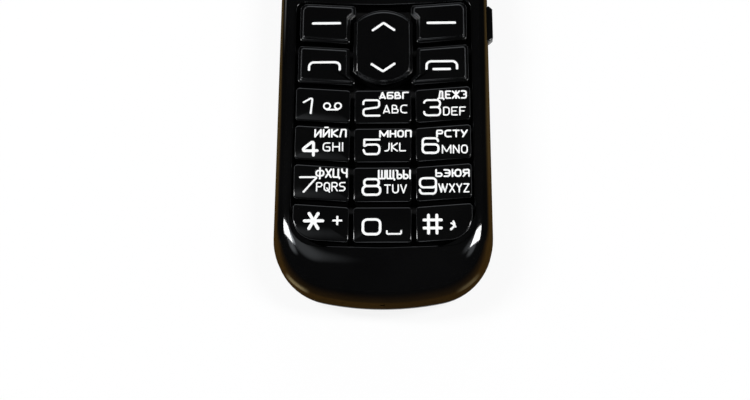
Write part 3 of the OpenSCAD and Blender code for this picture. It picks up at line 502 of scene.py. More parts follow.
def pillow(c, low, height):
    """Height of a number key's top over a point, and its middle."""
    x = sum(column(c)) / 2
    middle = Vector((x, low + height / 2 + smile(x)))
    tilt = asin(x / SMILE_R)
    across = Vector((-sin(tilt), cos(tilt)))

    def top(p):
        d = (p - middle).dot(across)
        return KEY_TOP - PILLOW_R + sqrt(PILLOW_R * PILLOW_R - d * d)
    return top, middle


def number_key(name, c, r):
    x0, x1 = column(c)
    low = NUM_TOP - ROW_H - r * ROW_PITCH
    corners = [Vector((x, y + smile(x))) for x, y in
               [(x1, low + ROW_H), (x0, low + ROW_H), (x0, low), (x1, low)]]
    radii = [0.7, 0.7, 5 if (c, r) == (0, 3) else 0.7, 5 if (c, r) == (2, 3) else 0.7]
    top, middle = pillow(c, low, ROW_H)
    edge_w, edge_h = 0.28, 0.18

    def outline(d):
        return rounded(inset(corners, d), [max(q - d, 0.12) for q in radii], 7)

    bm = bmesh.new()
    loop = ring(bm, outline(0), KEY_Z)
    cap(bm, loop)
    for drop, move in quarter(1, 7):
        loop = rise(bm, loop, outline(move * edge_w), lambda p, drop=drop: top(p) - drop * edge_h)
    rim = outline(edge_w + 0.05)
    for share in (1, 0.85, 0.7, 0.5, 0.3, 0.12):
        loop = rise(bm, loop, [middle + (p - middle) * share for p in rim], top)
    cap(bm, loop)
    finish_mesh("moulded_" + name, bm, key_gloss, name, [name])


def flat_key(name, outline):
    """A flat key: straight rim, a ledge all round and a raised flat top, both with soft edges."""
    edge_w, edge_h, foot = 0.18, 0.14, KEY_TOP - BEVEL_H
    ledge = BEVEL_W - 0.35
    top_w, top_h = 0.26, BEVEL_H - 0.2
    bm = bmesh.new()
    loop = ring(bm, outline(0), KEY_Z)
    cap(bm, loop)
    for drop, move in quarter(1):
        loop = rise(bm, loop, outline(move * edge_w), foot - drop * edge_h)
    loop = rise(bm, loop, outline(edge_w + 0.04), foot)
    loop = rise(bm, loop, outline(ledge - 0.06), foot + 0.02)
    loop = rise(bm, loop, outline(ledge), foot + 0.06)
    loop = rise(bm, loop, outline(ledge + 0.04), foot + 0.14)
    for drop, move in quarter(1):
        loop = rise(bm, loop, outline(ledge + 0.06 + move * top_w), KEY_TOP - drop * top_h)
    for more in (0.05, 0.12):
        flat = outline(ledge + 0.06 + top_w + more)
        loop = rise(bm, loop, flat, KEY_TOP)
    middle = sum(flat, Vector((0, 0))) / len(flat)
    for share in (0.7, 0.4, 0.1):
        loop = rise(bm, loop, [middle + (p - middle) * share for p in flat], KEY_TOP)
    cap(bm, loop)
    finish_mesh("moulded_" + name, bm, key_gloss, name, [name])


def beside_rocker(side, upper):
    """Outline of a soft key (upper) or a call key, on the left (-1) or right (1)."""
    notch = 1.1
    low, high = (SOFT_Y, SOFT_Y + SOFT_H) if upper else (CALL_Y, CALL_Y + CALL_H)
    x0 = -PAD_HALF + (0.4 if upper else 0.2)
    x1 = -SIDE_X - 0.2
    if upper:
        shoulder = NAV_Y + NAV_END + NAV_GAP
        corners = [(x1 + notch, high + smile(x1)), (x0, high + smile(x0)), (x0, low + smile(x0)),
                   (x1, low + smile(x1)), (x1, shoulder), (x1 + notch, shoulder + notch)]
        radii = [0.7, 1.4, 0.7, 0.7, 0.3, 0.3]
    else:
        shoulder = NAV_Y - NAV_END - NAV_GAP
        corners = [(x1, high + smile(x1)), (x0, high + smile(x0)), (x0, low + smile(x0)),
                   (x1 + notch, low + smile(x1)), (x1 + notch, shoulder - notch), (x1, shoulder)]
        radii = [0.7, 0.7, 0.7, 0.7, 0.3, 0.3]
    if side > 0:
        corners = [(-x, y) for x, y in reversed(corners)]
        radii = radii[::-1]
    points = [Vector(p) for p in corners]
    return lambda d: rounded(inset(points, d), [max(r - d * 0.4, 0.15) for r in radii], 6)


def rocker_outline(d):
    hx, rise_y = NAV_W / 2 - d, NAV_ARCH - d
    r = (hx * hx + rise_y * rise_y) / (2 * rise_y)
    a = asin(hx / r)
    upper = arc(Vector((0, NAV_Y + NAV_END + rise_y - r)), r, pi / 2 - a, pi / 2 + a, 24)
    lower = arc(Vector((0, NAV_Y - NAV_END - rise_y + r)), r, 3 * pi / 2 - a, 3 * pi / 2 + a, 24)
    return upper + lower


keypad = [("key_1", "key_2", "key_3"), ("key_4", "key_5", "key_6"),
          ("key_7", "key_8", "key_9"), ("key_star", "key_0", "key_hash")]
key_cell = {name: (c, r) for r, names in enumerate(keypad) for c, name in enumerate(names)}

for key_name, (column_of, row_of) in key_cell.items():
    number_key(key_name, column_of, row_of)
flat_key("key_soft_left", beside_rocker(-1, True))
flat_key("key_soft_right", beside_rocker(1, True))
flat_key("key_call", beside_rocker(-1, False))
flat_key("key_end", beside_rocker(1, False))
flat_key("key_nav", rocker_outline)


# ---- printed legends ----

def bent(points, radii):
    """An open line with its corners rounded, as far as its segments leave room."""
    line = [points[0]]
    for i in range(1, len(points) - 1):
        a, b, c = points[i - 1:i + 2]
        u, v = (a - b).normalized(), (c - b).normalized()
        half = acos(max(-1, min(1, u.dot(v)))) / 2
        before = (a - b).length * (0.95 if i == 1 else 0.5)
        after = (c - b).length * (0.95 if i == len(points) - 2 else 0.5)
        room = min(before, after)
        line += corner(a, b, c, min(radii[i], room * tan(half)), 5)
    return line + [points[-1]]


def stroke(bm, points, width, radius=0.4, layer=0):
    """A stroke with round ends along an open line; radius is one value or one for each point."""
    radii = radius if isinstance(radius, list) else [radius] * len(points)
    line = bent([Vector(p) for p in points], radii)
    middle = [line[0]]
    for a, b in zip(line, line[1:]):
        cuts = max(1, int((b - a).length / 0.4))
        if (b - a).length > 1e-4:
            middle += [a.lerp(b, i / cuts) for i in range(1, cuts + 1)]
    half, stations = width / 2, []
    head, tail = (middle[0] - middle[1]).normalized(), (middle[-1] - middle[-2]).normalized()
    ends = [(sin(a), cos(a)) for a in (radians(16 * i) for i in range(1, 6))]
    for reach, share in reversed(ends):
        stations.append((middle[0] + head * half * reach, -head, half * share))
    for i, p in enumerate(middle):
        before = (p - middle[i - 1]).normalized() if i else -head
        after = (middle[i + 1] - p).normalized() if i < len(middle) - 1 else tail
        along = (before + after).normalized()
        stations.append((p, along, half / max(0.5, along.dot(after))))
    for reach, share in ends:
        stations.append((middle[-1] + tail * half * reach, tail, half * share))
    pair = None
    for p, along, w in stations:
        side = Vector((-along.y, along.x)) * w
        if pair is None:
            pair = [bmesh.ops.create_vert(bm, co=(q.x, q.y, layer))["vert"][0]
                    for q in (p + side, p - side)]
            bmesh.ops.contextual_create(bm, geom=pair)
        else:
            pair = rise(bm, pair, [p + side, p - side], layer)


def loop_stroke(bm, points, width, layer=0):
    """A stroke along a closed line, listed anticlockwise."""
    outer = ring(bm, inset(points, -width / 2), layer)
    rise(bm, outer, inset(points, width / 2), layer)


# Letters on a grid six high: a point is a column and a row, z is one below the line and ~ a soft corner
letter_lines = {
    "A": "00 26/26 40/11 31", "B": "00 06 36~ 33~ 03/13 43~ 40~ 00", "C": "46 06~ 00~ 40",
    "D": "00 40~ 46~ 06 00", "E": "46 06 00 40/03 33", "F": "46 06 00/03 33",
    "G": "46 06~ 00~ 40 43 23", "H": "06 00/46 40/03 43", "I": "06 00", "J": "36 30~ 00",
    "K": "06 00/46 03/03 40", "L": "06 00 40", "M": "00 06/06 31/31 66/66 60",
    "N": "00 06/06 40/40 46", "O": "00~ 40~ 46~ 06~ 00~", "P": "00 06 46~ 43~ 03",
    "Q": "00~ 40~ 46~ 06~ 00~/22 4z", "R": "00 06 46~ 43~ 03/23 40", "S": "46 06~ 03~ 43~ 40~ 00",
    "T": "06 46/26 20", "U": "06 00~ 40~ 46", "V": "06 20/20 46", "W": "06 20/20 36/36 50/50 76",
    "X": "06 40/46 00", "Y": "06 23/46 23/23 20", "Z": "06 46/46 00/00 40",
    "Б": "46 06 00 40~ 43~ 03", "Г": "46 06 00", "Д": "0z 00 50 5z/10 26/26 46 40",
    "Ж": "06 33/33 00/66 33/33 60/36 30", "З": "06 46~ 43~ 23/33 43~ 40~ 00",
    "И": "06 00/00 46/46 40", "Й": "06 00/00 46/46 40/18 38", "Л": "00 16/16 46 40",
    "П": "00 06 46 40", "У": "06 22/46 10", "Ф": "01~ 61~ 65~ 05~ 01~/37 3z",
    "Ц": "06 00 50 5z/46 40", "Ч": "06 03~ 43/46 40", "Ш": "06 00 60 66/36 30",
    "Щ": "06 00 70 7z/36 30/66 60", "Ъ": "06 16 10 50~ 53~ 13", "Ы": "06 00 40~ 43~ 03/66 60",
    "Ь": "06 00 40~ 43~ 03", "Э": "06 46~ 40~ 00/13 43", "Ю": "06 00/03 23/20~ 60~ 66~ 26~ 20~",
    "Я": "40 46 06~ 03~ 43/23 00",
}
twins = str.maketrans("АВЕКМНОРСТХ", "ABEKMHOPCTX")


def lettering(bm, words, x, y, width, height, pen):
    """Capital letters in a box round (x, y), drawn with a pen of that width."""
    lines = [[text.split() for text in letter_lines[c].split("/")] for c in words.translate(twins)]
    columns = [max(int(p[0]) for line in letter for p in line) for letter in lines]
    space = 1.9
    across = (width - pen) / (sum(columns) + space * (len(columns) - 1))
    up = (height - pen) / 6
    at, layer = x - (width - pen) / 2, 5
    for letter, wide in zip(lines, columns):
        for line in letter:
            rows = [-1 if p[1] == "z" else int(p[1]) for p in line]
            points = [Vector((at + int(p[0]) * across, y + (row - 3) * up))
                      for p, row in zip(line, rows)]
            radii = [2.2 * up if "~" in p else 0.5 * pen for p in line]
            if line[0] == line[-1]:
                rim = rounded(points[:-1], [min(r, 1.95 * up, 1.95 * across) for r in radii[:-1]], 5)
                loop_stroke(bm, rim, pen, layer)
            else:
                stroke(bm, points, pen, radii, layer)
            layer += 1
        at += (wide + space) * across


def ink(name, bm, top=None):
    """Lays the flat print of a legend on its key: top gives the height of a curved key."""
    for v in bm.verts:
        v.co.z = (top(v.co.xy) if top else KEY_TOP) - INK / 2 + v.co.z * 0.004
    settle(bm)
    raised = bmesh.ops.extrude_face_region(bm, geom=bm.faces[:], use_keep_orig=True)["geom"]
    upper = [g for g in raised if isinstance(g, bmesh.types.BMVert)]
    bmesh.ops.translate(bm, vec=(0, 0, INK), verts=upper)
    finish_mesh("print_" + name, bm, legend_white, name)


# Open strokes, pen widths and corner radii of the digits; closed loops are drawn in digit()
digit_strokes = {
    "1": [[(-1.2, 0.8), (1.0, 2.15), (0.6, -2.1)]],
    "2": [[(-2.0, 1.0), (-2.0, 2.05), (1.9, 2.05), (1.9, 0.15), (-1.95, -0.35), (-1.95, -2.05),
           (2.0, -2.05)]],
    "3": [[(-2.0, 1.3), (-1.8, 2.0), (1.95, 2.0), (1.95, 0.1), (-0.4, 0.1)],
          [(1.0, 0.1), (1.95, 0.1), (1.95, -2.0), (-1.95, -2.0), (-2.0, -1.1)]],
    "4": [[(1.1, -1.85), (1.1, 1.85), (-2.0, -0.75), (2.0, -0.75)]],
    "5": [[(1.75, 1.9), (-1.95, 1.9), (-1.95, 0.2), (-1.2, 0.6), (1.75, 0.6), (1.75, -1.85),
           (-1.75, -1.85), (-2.1, -0.85)]],
    "6": [[(1.85, 1.15), (1.7, 1.9), (-1.9, 1.9), (-1.9, -0.4)]],
    "7": [[(-1.9, 1.85), (2.25, 1.85), (-0.95, -1.85)]],
    "9": [[(1.9, 0.4), (1.9, -1.95), (-1.75, -1.95), (-1.98, -1.05)]],
}


def box_loop(x, y, w, h, r):
    return box_outline(x, y, w, h, r, 5)


digit_pen = {"0": 0.54, "1": 0.4, "2": 0.44, "3": 0.42, "4": 0.6,
             "5": 0.45, "6": 0.48, "7": 0.4, "8": 0.5, "9": 0.46}
digit_bend = {"1": 0.3, "3": 0.7, "4": 0.3, "5": [0, 0.05, 0.05, 0.4, 0.75, 0.75, 0.6, 0],
              "6": 0.65, "7": 0.15, "9": 0.65}


def digit(bm, sign, x, y):
    """A wide, squared digit round (x, y)."""
    scale, width = 0.85, digit_pen[sign]
    for layer, line in enumerate(digit_strokes.get(sign, [])):
        points = [(x + scale * a, y + scale * b) for a, b in line]
        stroke(bm, points, width, digit_bend.get(sign, 0.55), layer)
    if sign == "6":
        loop_stroke(bm, box_loop(x, y - 0.66, 3.3, 1.85, 0.75), width, 1)
    if sign == "9":
        loop_stroke(bm, box_loop(x, y + 0.66, 3.3, 2.0, 0.75), width, 1)
    if sign == "8":
        loop_stroke(bm, box_loop(x, y + 0.9, 3.0, 1.5, 0.68), width)
        loop_stroke(bm, box_loop(x, y - 0.78, 3.6, 1.85, 0.8), width, 1)
    if sign == "0":
        loop_stroke(bm, box_loop(x, y, 3.5, 3.1, 0.9), width)


# Digit with its place, then the two letter groups: words, place and size
number_legends = [
    ("key_2", "2", (-2.39, -11.75), [("АБВГ", 2.35, -8.92, 6.3, 1.75),
                                     ("ABC", 2.6, -12.08, 5.1, 1.95)]),
    ("key_3", "3", (10.37, -11.80), [("ДЕЖЗ", 14.56, -8.86, 6.3, 2.0),
                                     ("DEF", 15.03, -12.59, 4.8, 1.95)]),
    ("key_4", "4", (-15.34, -20.61), [("ИЙКЛ", -10.91, -17.35, 6.8, 2.0),
                                      ("GHI", -10.35, -20.45, 4.3, 2.0)]),
    ("key_5", "5", (-2.16, -20.51), [("МНОП", 2.67, -17.57, 6.8, 1.75),
                                     ("JKL", 2.6, -20.59, 4.5, 1.95)]),
    ("key_6", "6", (9.94, -20.30), [("РСТУ", 14.44, -17.63, 6.6, 1.8),
                                    ("MNO", 14.97, -21.1, 5.4, 1.9)]),
    ("key_7", "7", (-15.42, -28.66), [("ФХЦЧ", -10.54, -26.21, 6.7, 2.15),
                                      ("PQRS", -10.64, -29.19, 6.1, 2.0)]),
    ("key_8", "8", (-2.25, -29.25), [("ШЩЪЫ", 2.45, -26.59, 6.8, 2.15),
                                     ("TUV", 2.69, -29.74, 4.7, 1.95)]),
    ("key_9", "9", (9.36, -29.11), [("ЬЭЮЯ", 14.42, -26.34, 7.1, 1.8),
                                    ("WXYZ", 14.65, -29.6, 6.4, 1.95)]),
]


def key_top(name):
    c, r = key_cell[name]
    return pillow(c, NUM_TOP - ROW_H - r * ROW_PITCH, ROW_H)[0]


for key_name, sign, (sign_x, sign_y), groups in number_legends:
    bm = bmesh.new()
    digit(bm, sign, sign_x, sign_y)
    for i, (words, x, y, w, h) in enumerate(groups):
        lettering(bm, words, x, y, w, h, 0.36 if i == 0 else 0.28)
    ink(key_name, bm, key_top(key_name))


def message_mark(bm, x, y):
    """Two rings on a line."""
    for layer, side in enumerate((-1, 1)):
        loop_stroke(bm, arc(Vector((x + side * 1.15, y + 0.1)), 0.68, 0, 2 * pi, 20)[:-1], 0.34, layer)
    stroke(bm, [(x - 1.15, y - 0.72), (x + 1.15, y - 0.72)], 0.36, 0.4, 2)


bm = bmesh.new()
digit(bm, "1", -15.68, -11.04)
message_mark(bm, -10.6, -11.37)
ink("key_1", bm, key_top("key_1"))

bm = bmesh.new()
for layer, turn in enumerate((0, 60, 120)):
    dx, dy = 1.85 * cos(radians(turn)), 1.85 * sin(radians(turn))
    stroke(bm, [(-14.03 - dx, -36.53 - dy), (-14.03 + dx, -36.53 + dy)], 0.66, 0.4, layer)
for layer, (dx, dy) in enumerate(((0.8, 0), (0, 0.8))):
    stroke(bm, [(-9.17 - dx, -36.49 - dy), (-9.17 + dx, -36.49 + dy)], 0.44, 0.4, layer)
ink("key_star", bm, key_top("key_star"))

bm = bmesh.new()
digit(bm, "0", -2.18, -37.83)
stroke(bm, [(0.95, -38.75), (0.95, -39.35), (3.85, -39.35), (3.85, -38.75)], 0.36, 0.25)
ink("key_0", bm, key_top("key_0"))

bm = bmesh.new()
for layer, side in enumerate((-0.85, 0.85)):
    stroke(bm, [(10.25 + side, -39.2), (10.25 + side, -35.4)], 0.6, 0.4, layer)
    stroke(bm, [(8.5, -37.3 + side), (12.0, -37.3 + side)], 0.6, 0.4, layer + 2)
stroke(bm, [(14.46, -36.8), (14.7, -37.4), (14.4, -38.0), (13.95, -38.42)], 0.44, 0.4)
stroke(bm, [(14.0, -37.15), (14.6, -37.5), (14.9, -37.92)], 0.32, 0.2, 1)
ink("key_hash", bm, key_top("key_hash"))

bm = bmesh.new()
stroke(bm, [(-15.1, 8.0), (-9.35, 8.0)], 0.56)
ink("key_soft_left", bm)
bm = bmesh.new()
stroke(bm, [(9.6, 7.85), (15.4, 7.85)], 0.56)
ink("key_soft_right", bm)
bm = bmesh.new()
stroke(bm, [(-15.75, -2.9), (-15.75, -1.2), (-9.2, -1.2), (-9.2, -2.9)], 0.5, 1.0)
ink("key_call", bm)
bm = bmesh.new()
stroke(bm, [(9.25, -2.9), (9.25, -1.2), (15.7, -1.2), (15.7, -2.9)], 0.5, 1.0)
stroke(bm, [(10.75, -3.0), (14.15, -3.0)], 0.54, 0.4, 1)
ink("key_end", bm)
bm = bmesh.new()
stroke(bm, [(-2.2, 6.25), (0.08, 7.95), (2.35, 6.25)], 0.52, 0.35)
stroke(bm, [(-2.4, -1.75), (0.0, -3.4), (2.4, -1.7)], 0.52, 0.35)
ink("key_nav", bm)


# ---- front shell ----

def front_shell():
    """Face frame with rolled edges, the keypad well, the window's recess and the sound slot."""
    # Side key's slot, lower edge and well, the window's seat and opening, sound slot
    slot, slot_z = [4.9, 13.9], [8.25, 11.25]
    lead, well_z, undercut = 0.12, 10.47, 0.9
    glass_w, glass_z, view_w, view_less = 34.1, 13.2, 26, 5.6
    ear_y, ear_w, ear_l = 46.9, 9, 1.4
    bm = bmesh.new()

    def outer(angle):
        k = 1 - cos(angle)
        return body_outline(SIDE_ROLL * k, TOP_ROLL * k, CHIN_ROLL * k, slot)

    def inner(angle):
        k = 1 - cos(angle)
        moves = [WALL + (roll - WALL) * k for roll in (SIDE_ROLL, TOP_ROLL, CHIN_ROLL)]
        return body_outline(*moves, slot)

    start = ring(bm, body_outline(lead, lead, lead, slot), SEAM_Z)
    loop = rise(bm, start, outer(0), SEAM_Z + lead)
    for z in (slot_z[0], ROLL_Z):
        loop = rise(bm, loop, outer(0), z)
    cut_angle = asin((slot_z[1] - ROLL_Z) / (FACE_Z - ROLL_Z))
    angles = [cut_angle * i / 4 for i in range(1, 5)]
    angles += [cut_angle + (pi / 2 - cut_angle) * i / 12 for i in range(1, 13)]
    for a in angles:
        loop = rise(bm, loop, outer(a), ROLL_Z + (FACE_Z - ROLL_Z) * sin(a))
    flat = body_outline(SIDE_ROLL + 0.15, TOP_ROLL + 0.15, CHIN_ROLL + 0.15, slot)
    face = rise(bm, loop, flat, FACE_Z)

    loop = rise(bm, start, inner(0), SEAM_Z)
    loop = rise(bm, loop, inner(0), ROLL_Z)
    for i in range(1, 7):
        a = pi / 2 * i / 6
        loop = rise(bm, loop, inner(a), ROLL_Z + (FACE_Z - WALL - ROLL_Z) * sin(a))
    back = loop

    def recess(outline, radius, steps):
        """A hole with a soft edge, then steps of height and outline down to the back of the face."""
        mouth = ring(bm, outline(radius + 0.08), FACE_Z)
        down = rise(bm, mouth, outline(radius), FACE_Z)
        for drop, move in reversed(quarter(radius)[:-1]):
            down = rise(bm, down, outline(move), FACE_Z - drop)
        for z, points in steps:
            down = rise(bm, down, points, z)
        return mouth, down

    back_z = FACE_Z - WALL
    well, well_back = recess(well_outline, 0.22,
                             [(well_z, well_outline(0)), (well_z, well_outline(undercut)),
                              (back_z, well_outline(undercut))])
    wy, wl = window_place()

    def glass_seat(d):
        return box_outline(0, wy, glass_w + 2 * d, wl + 0.1 + 2 * d, 2.5 + d)

    view = box_outline(0, wy, view_w, wl - view_less, 0.6)
    window, window_back = recess(glass_seat, 0.06,
                                 [(glass_z, glass_seat(0)), (glass_z, view), (back_z, view)])

    def ear_slot(d):
        return box_outline(0, ear_y, ear_w + 2 * d, ear_l + 2 * d, 0.65 + d)

    ear, ear_back = recess(ear_slot, 0.12, [(back_z, ear_slot(0))])
    fill_flat(bm, face, well, window, ear)
    fill_flat(bm, back, well_back, window_back, ear_back)

    bmesh.ops.recalc_face_normals(bm, faces=bm.faces)
    cutters = bmesh.new()
    side_slot, microphone_hole = ((19, 25), slot, slot_z), ((-0.5, 0.5), (-54, -50), (9.0, 9.6))
    block(cutters, *side_slot)
    socket_mouths(cutters)
    block(cutters, *microphone_hole)
    bm = carve(bm, cutters)
    finish_mesh("moulded_front_shell", bm, shell_gloss, "root", ["front_shell"])


def block(bm, xs, ys, zs):
    """A box between pairs of coordinates."""
    size = [b - a for a, b in (xs, ys, zs)]
    middle = [(a + b) / 2 for a, b in (xs, ys, zs)]
    where = Matrix.Translation(middle) @ Matrix.Diagonal((*size, 1))
    bmesh.ops.create_cube(bm, size=1, matrix=where)


def socket_mouths(bm):
    """Openings of the headset and charging sockets through the top end."""
    headset, radius, gap = (12.2, 51, 5.1), 2.65, 0.25
    turn = Matrix.Translation(headset) @ Matrix.Rotation(pi / 2, 4, "X")
    bmesh.ops.create_cone(bm, cap_ends=True, segments=48, radius1=radius, radius2=radius, depth=6,
                          matrix=turn)
    low, high = (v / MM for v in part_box("charging_socket"))
    block(bm, (low.x - gap, high.x + gap), (high.y - 0.01, 54), (low.z - gap, high.z + gap))


def carve(bm, cutters):
    """Cuts one closed mesh out of another."""
    settle(bm)
    solids = []
    for name, mesh in (("body", bm), ("cutter", cutters)):
        data = bpy.data.meshes.new(name)
        mesh.to_mesh(data)
        mesh.free()
        solid = bpy.data.objects.new(name, data)
        bpy.context.scene.collection.objects.link(solid)
        solids.append(solid)
    cut = solids[0].modifiers.new("cut", "BOOLEAN")
    cut.operation = "DIFFERENCE"
    cut.solver = "EXACT"
    cut.object = solids[1]
    depsgraph = bpy.context.evaluated_depsgraph_get()
    mesh = bpy.data.meshes.new_from_object(solids[0].evaluated_get(depsgraph))
    result = bmesh.new()
    result.from_mesh(mesh)
    bpy.data.meshes.remove(mesh)
    for solid in solids:
        data = solid.data
        bpy.data.objects.remove(solid)
        bpy.data.meshes.remove(data)
    bmesh.ops.remove_doubles(result, verts=result.verts, dist=0.0005)
    return result


def window_place():
    low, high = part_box("display_window")
    return (low.y + high.y) / 2 / MM, (high.y - low.y) / MM


front_shell()


# ---- side key, window and back ----

def side_key():
    """Side key: a bar with sloped ends and soft edges, on its thin flange."""
    low, high = (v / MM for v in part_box("side_key"))
    y0, y1, slope, soft = 5.2, 13.6, 0.72, 0.16
    z0, z1 = low.z, high.z
    bm = bmesh.new()

    def section(d):
        corners = [(y1 - d, z1 - d), (y0 + d, z1 - d), (y0 + d, z0 + d), (y1 - d, z0 + d)]
        return rounded([Vector(p) for p in corners], [max(0.3 - d, 0.05)] * 4, 4)

    def shrink(points, d):
        k = 1 - 2 * d / (y1 - y0)
        return [Vector(((p.x - 9.4) * k + 9.4, p.y)) for p in points]

    tip = high.x
    loop = ring(bm, section(0), low.x + 0.2)
    cap(bm, loop)
    loop = rise(bm, loop, section(0), tip - slope - 0.06)
    loop = rise(bm, loop, shrink(section(0.01), 0.05), tip - slope + 0.02)
    loop = rise(bm, loop, shrink(section(0.02), slope - 0.12), tip - 0.14)
    for drop, move in quarter(soft)[1:]:
        loop = rise(bm, loop, shrink(section(move), slope - 0.1 + move * 0.3), tip - drop)
    loop = rise(bm, loop, shrink(section(soft + 0.06), slope), tip)
    cap(bm, loop)
    for v in bm.verts:
        v.co = Vector((v.co.z, v.co.x, v.co.y))
    block(bm, (low.x, low.x + 0.4), (low.y, high.y), (z0, 9.9))
    finish_mesh("moulded_side_key", bm, key_gloss, "side_key", ["side_key"])


def display_window():
    """Window: a plate with softened rims, flush in the face."""
    low, high = (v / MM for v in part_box("display_window"))
    y, l, w = (low.y + high.y) / 2, high.y - low.y, high.x - low.x
    bm = bmesh.new()
    loop = ring(bm, box_outline(0, y, w - 0.1, l - 0.1, 2.4, 10), low.z)
    cap(bm, loop)
    loop = rise(bm, loop, box_outline(0, y, w, l, 2.45, 10), low.z + 0.05)
    for drop, move in quarter(0.08):
        rim = box_outline(0, y, w - 2 * move, l - 2 * move, 2.45 - move, 10)
        loop = rise(bm, loop, rim, high.z - drop)
    loop = rise(bm, loop, box_outline(0, y, w - 0.4, l - 0.4, 2.25, 10), high.z)
    cap(bm, loop)
    finish_mesh("moulded_window", bm, slot_finish["window_clear"], "root", ["display_window"])


def body_cup(top_z, wall):
    """Lower half of the body up to top_z, with a wall; open upwards, its rim closed."""
    steps = 10
    bm = bmesh.new()

    def outer(a):
        k = 1 - cos(a)
        return body_outline(BACK_ROLL * k, BACK_ROLL * k, BACK_ROLL * k)

    def inner(a):
        k = 1 - cos(a)
        d = wall + (BACK_ROLL - wall) * k
        return body_outline(d, d, d)

    start = ring(bm, body_outline(0.1, 0.1, 0.1), top_z)
    loop = rise(bm, start, outer(0), top_z - 0.1)
    for i in range(1, steps + 1):
        a = pi / 2 * i / steps
        loop = rise(bm, loop, outer(a), BACK_ROLL_Z - BACK_ROLL_Z * sin(a))
    cap(bm, loop)
    loop = start
    for i in range(0, steps + 1):
        a = pi / 2 * i / steps
        loop = rise(bm, loop, inner(a), min(top_z, BACK_ROLL_Z - (BACK_ROLL_Z - wall) * sin(a)))
    cap(bm, loop)
    bmesh.ops.recalc_face_normals(bm, faces=bm.faces)
    return bm


def battery_cover():
    """Sliding cover with its two lips."""
    parting_y, lip_in, lip_out = 37.85, 19.35, 21.9
    bm = body_cup(SEAM_Z - SEAM, COVER_WALL)
    cutters = bmesh.new()
    block(cutters, (-30, 30), (parting_y, 60), (-1, 15))
    bm = carve(bm, cutters)
    for side in (-1, 1):
        block(bm, sorted((side * lip_in, side * lip_out)), (-43, 37.8), (5.0, 5.5))
    finish_mesh("moulded_battery_cover", bm, slot_finish["cover_satin"], "battery_cover",
                ["battery_cover"])


side_key()
display_window()
battery_cover()


# ---- the rest of the phone, in its own solids ----

def softened(name, width):
    """A copy of a node's solids, merged, with smooth curves and fine bevels on its corners."""
    bm = bmesh.new()
    bm.from_mesh(frame["nodes"][name].data)
    bmesh.ops.scale(bm, vec=(1 / MM, 1 / MM, 1 / MM), verts=bm.verts)
    bmesh.ops.remove_doubles(bm, verts=bm.verts, dist=0.002)
    bmesh.ops.dissolve_limit(bm, angle_limit=radians(0.5), verts=bm.verts, edges=bm.edges)
    bmesh.ops.recalc_face_normals(bm, faces=bm.faces)
    if width:
        corners = [e for e in bm.edges if len(e.link_faces) == 2
                   and e.calc_face_angle(0) > radians(30) and e.calc_length() > 3 * width]
        bmesh.ops.bevel(bm, geom=corners, offset=width, segments=2, profile=0.5, affect="EDGES",
                        material=-1, clamp_overlap=True)
    finish_mesh("formed_" + name, bm, slot_finish[slot_of[name]], "root", [name])


# Width of the fine bevel on each node's corners
bevelled = {"rear_shell": 0.0, "display_module": 0.08, "display_holder": 0.08, "earpiece": 0.1,
            "window_gasket": 0.05, "earpiece_mesh": 0.02, "shield_can": 0.08, "side_switch": 0.08,
            "microphone": 0.08, "loudspeaker": 0.12, "vibration_motor": 0.15, "audio_jack": 0.1,
            "charging_socket": 0.0, "antenna_carrier": 0.12, "antenna": 0.02, "battery_contacts": 0.06,
            "battery": 0.3, "sim_holder": 0.03, "screws": 0.05, "keymat": 0.06, "dome_sheet": 0.0,
            "main_board": 0.0}
for node_name, bevel_width in bevelled.items():
    softened(node_name, bevel_width)


# ---- table, light and camera ----

def table_top():
    bm = bmesh.new()
    bmesh.ops.create_grid(bm, x_segments=8, y_segments=8, size=3.0)
    mesh = bpy.data.meshes.new("table_top")
    bm.to_mesh(mesh)
    bm.free()
    floor = bpy.data.objects.new("table_top", mesh)
    bpy.context.scene.collection.objects.link(floor)
    f = Finish("table_paper")
    n = f.noise(30.0, 2.0)
    paper = f.node("ShaderNodeBsdfPrincipled", {},
                   {"Base Color": f.blend(n, (0.93, 0.93, 0.93), (0.95, 0.95, 0.95)), "Roughness": 0.9,
                    "Specular IOR Level": 0.0})
    white = f.node("ShaderNodeEmission", {}, {"Color": (1, 1, 1, 1), "Strength": 1.0})
    seen = f.node("ShaderNodeLightPath", out="Is Camera Ray")
    for kind in ("Is Glossy Ray", "Is Transmission Ray"):
        seen = seen.math("MAXIMUM", seen, f.node("ShaderNodeLightPath", out=kind))
    mixed = f.node("ShaderNodeMixShader", {}, {0: seen * 0.88, 1: paper, 2: white})
    f.node("ShaderNodeOutputMaterial", {}, {"Surface": mixed})
    mesh.materials.append(f.material)


def toward(azimuth, elevation):
    """Unit vector in a direction given in degrees, azimuth counted from +X."""
    a, e = radians(azimuth), radians(elevation)
    return Vector((cos(e) * cos(a), cos(e) * sin(a), sin(e)))


def panel(name, azimuth, elevation, width, height):
    """A soft light panel, seen from the keypad at that azimuth and elevation."""
    target, distance, glow = Vector((0, -0.02, 0.014)), 0.7, 29
    light = bpy.data.lights.new(name, "AREA")
    light.shape = "RECTANGLE"
    light.size = width
    light.size_y = height
    light.energy = glow * pi * width * height
    lamp = bpy.data.objects.new(name, light)
    bpy.context.scene.collection.objects.link(lamp)
    lamp.location = target + distance * toward(azimuth, elevation)
    lamp.rotation_euler = (target - lamp.location).to_track_quat("-Z", "Y").to_euler()


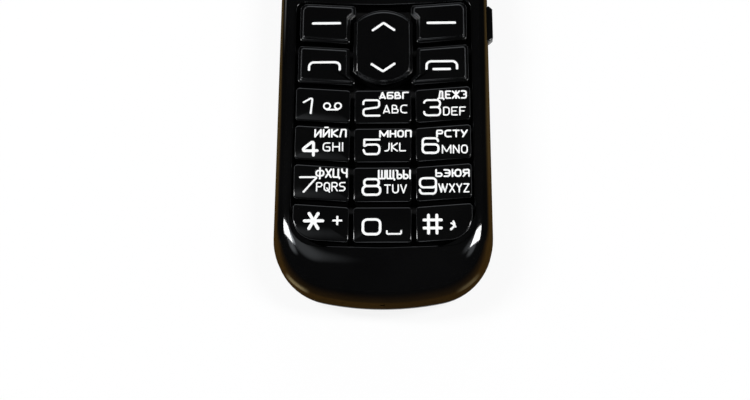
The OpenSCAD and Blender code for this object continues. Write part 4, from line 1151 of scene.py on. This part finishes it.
def room_light():
    """A dim room with a brighter horizon and soft glows."""
    world = bpy.data.worlds.new("room")
    bpy.context.scene.world = world
    world.use_nodes = True
    f = Finish("room", world.node_tree)
    ray = f.node("ShaderNodeTexCoord", out="Generated")
    height = f.node("ShaderNodeSeparateXYZ", {}, {"Vector": ray}, out="Z")
    sideways = abs(f.node("ShaderNodeSeparateXYZ", {}, {"Vector": ray}, out="X"))
    level = 0.015 + f.step(height, 0.02, 0.24, 1.0, 0.0) * (1.6 + sideways * 3.0)
    # Azimuth, elevation, reach and strength of each glow
    glows = [(163, 74, 12, 0.85), (182, 58, 8, 1.6), (168, 64, 5, 9.0), (3, 69, 7, 0.8),
             (-11, 60, 7, 1.2), (90, 22, 24, 1.5), (-90, 22, 10, 4.0)]
    for azimuth, elevation, reach, strength in glows:
        near = f.node("ShaderNodeVectorMath", {"operation": "DOT_PRODUCT"},
                      {0: ray, 1: toward(azimuth, elevation)}, out="Value")
        level = level + f.step(near, cos(radians(reach)), 1.0, 0.0, strength)
    tint = f.node("ShaderNodeCombineColor", {},
                  {"Red": level * 0.9, "Green": level * 0.95, "Blue": level})
    back = f.node("ShaderNodeBackground", {}, {"Color": tint, "Strength": 1.0})
    f.node("ShaderNodeOutputWorld", {}, {"Surface": back})


def camera():
    """The photo's camera, as fitted to the keys: focal length in pixels, place and turn."""
    focal, sensor = 1165.93, 36.0
    data = bpy.data.cameras.new("camera")
    data.sensor_width = sensor
    data.lens = focal / 750 * sensor
    cam = bpy.data.objects.new("camera", data)
    bpy.context.scene.collection.objects.link(cam)
    turn = (Matrix.Rotation(0.3142, 3, "X") @ Matrix.Rotation(0.0370, 3, "Y")
            @ Matrix.Rotation(-0.0051, 3, "Z"))
    cam.matrix_world = Matrix.Translation(Vector((7.326, -105.85, 241.37)) * MM) @ turn.to_4x4()
    bpy.context.scene.camera = cam


table_top()
panel("left_panel", 171, 51.5, 0.11, 0.275)
panel("right_panel", 2.5, 56, 0.12, 0.25)
room_light()
camera()
bpy.context.scene.view_settings.view_transform = "Standard"
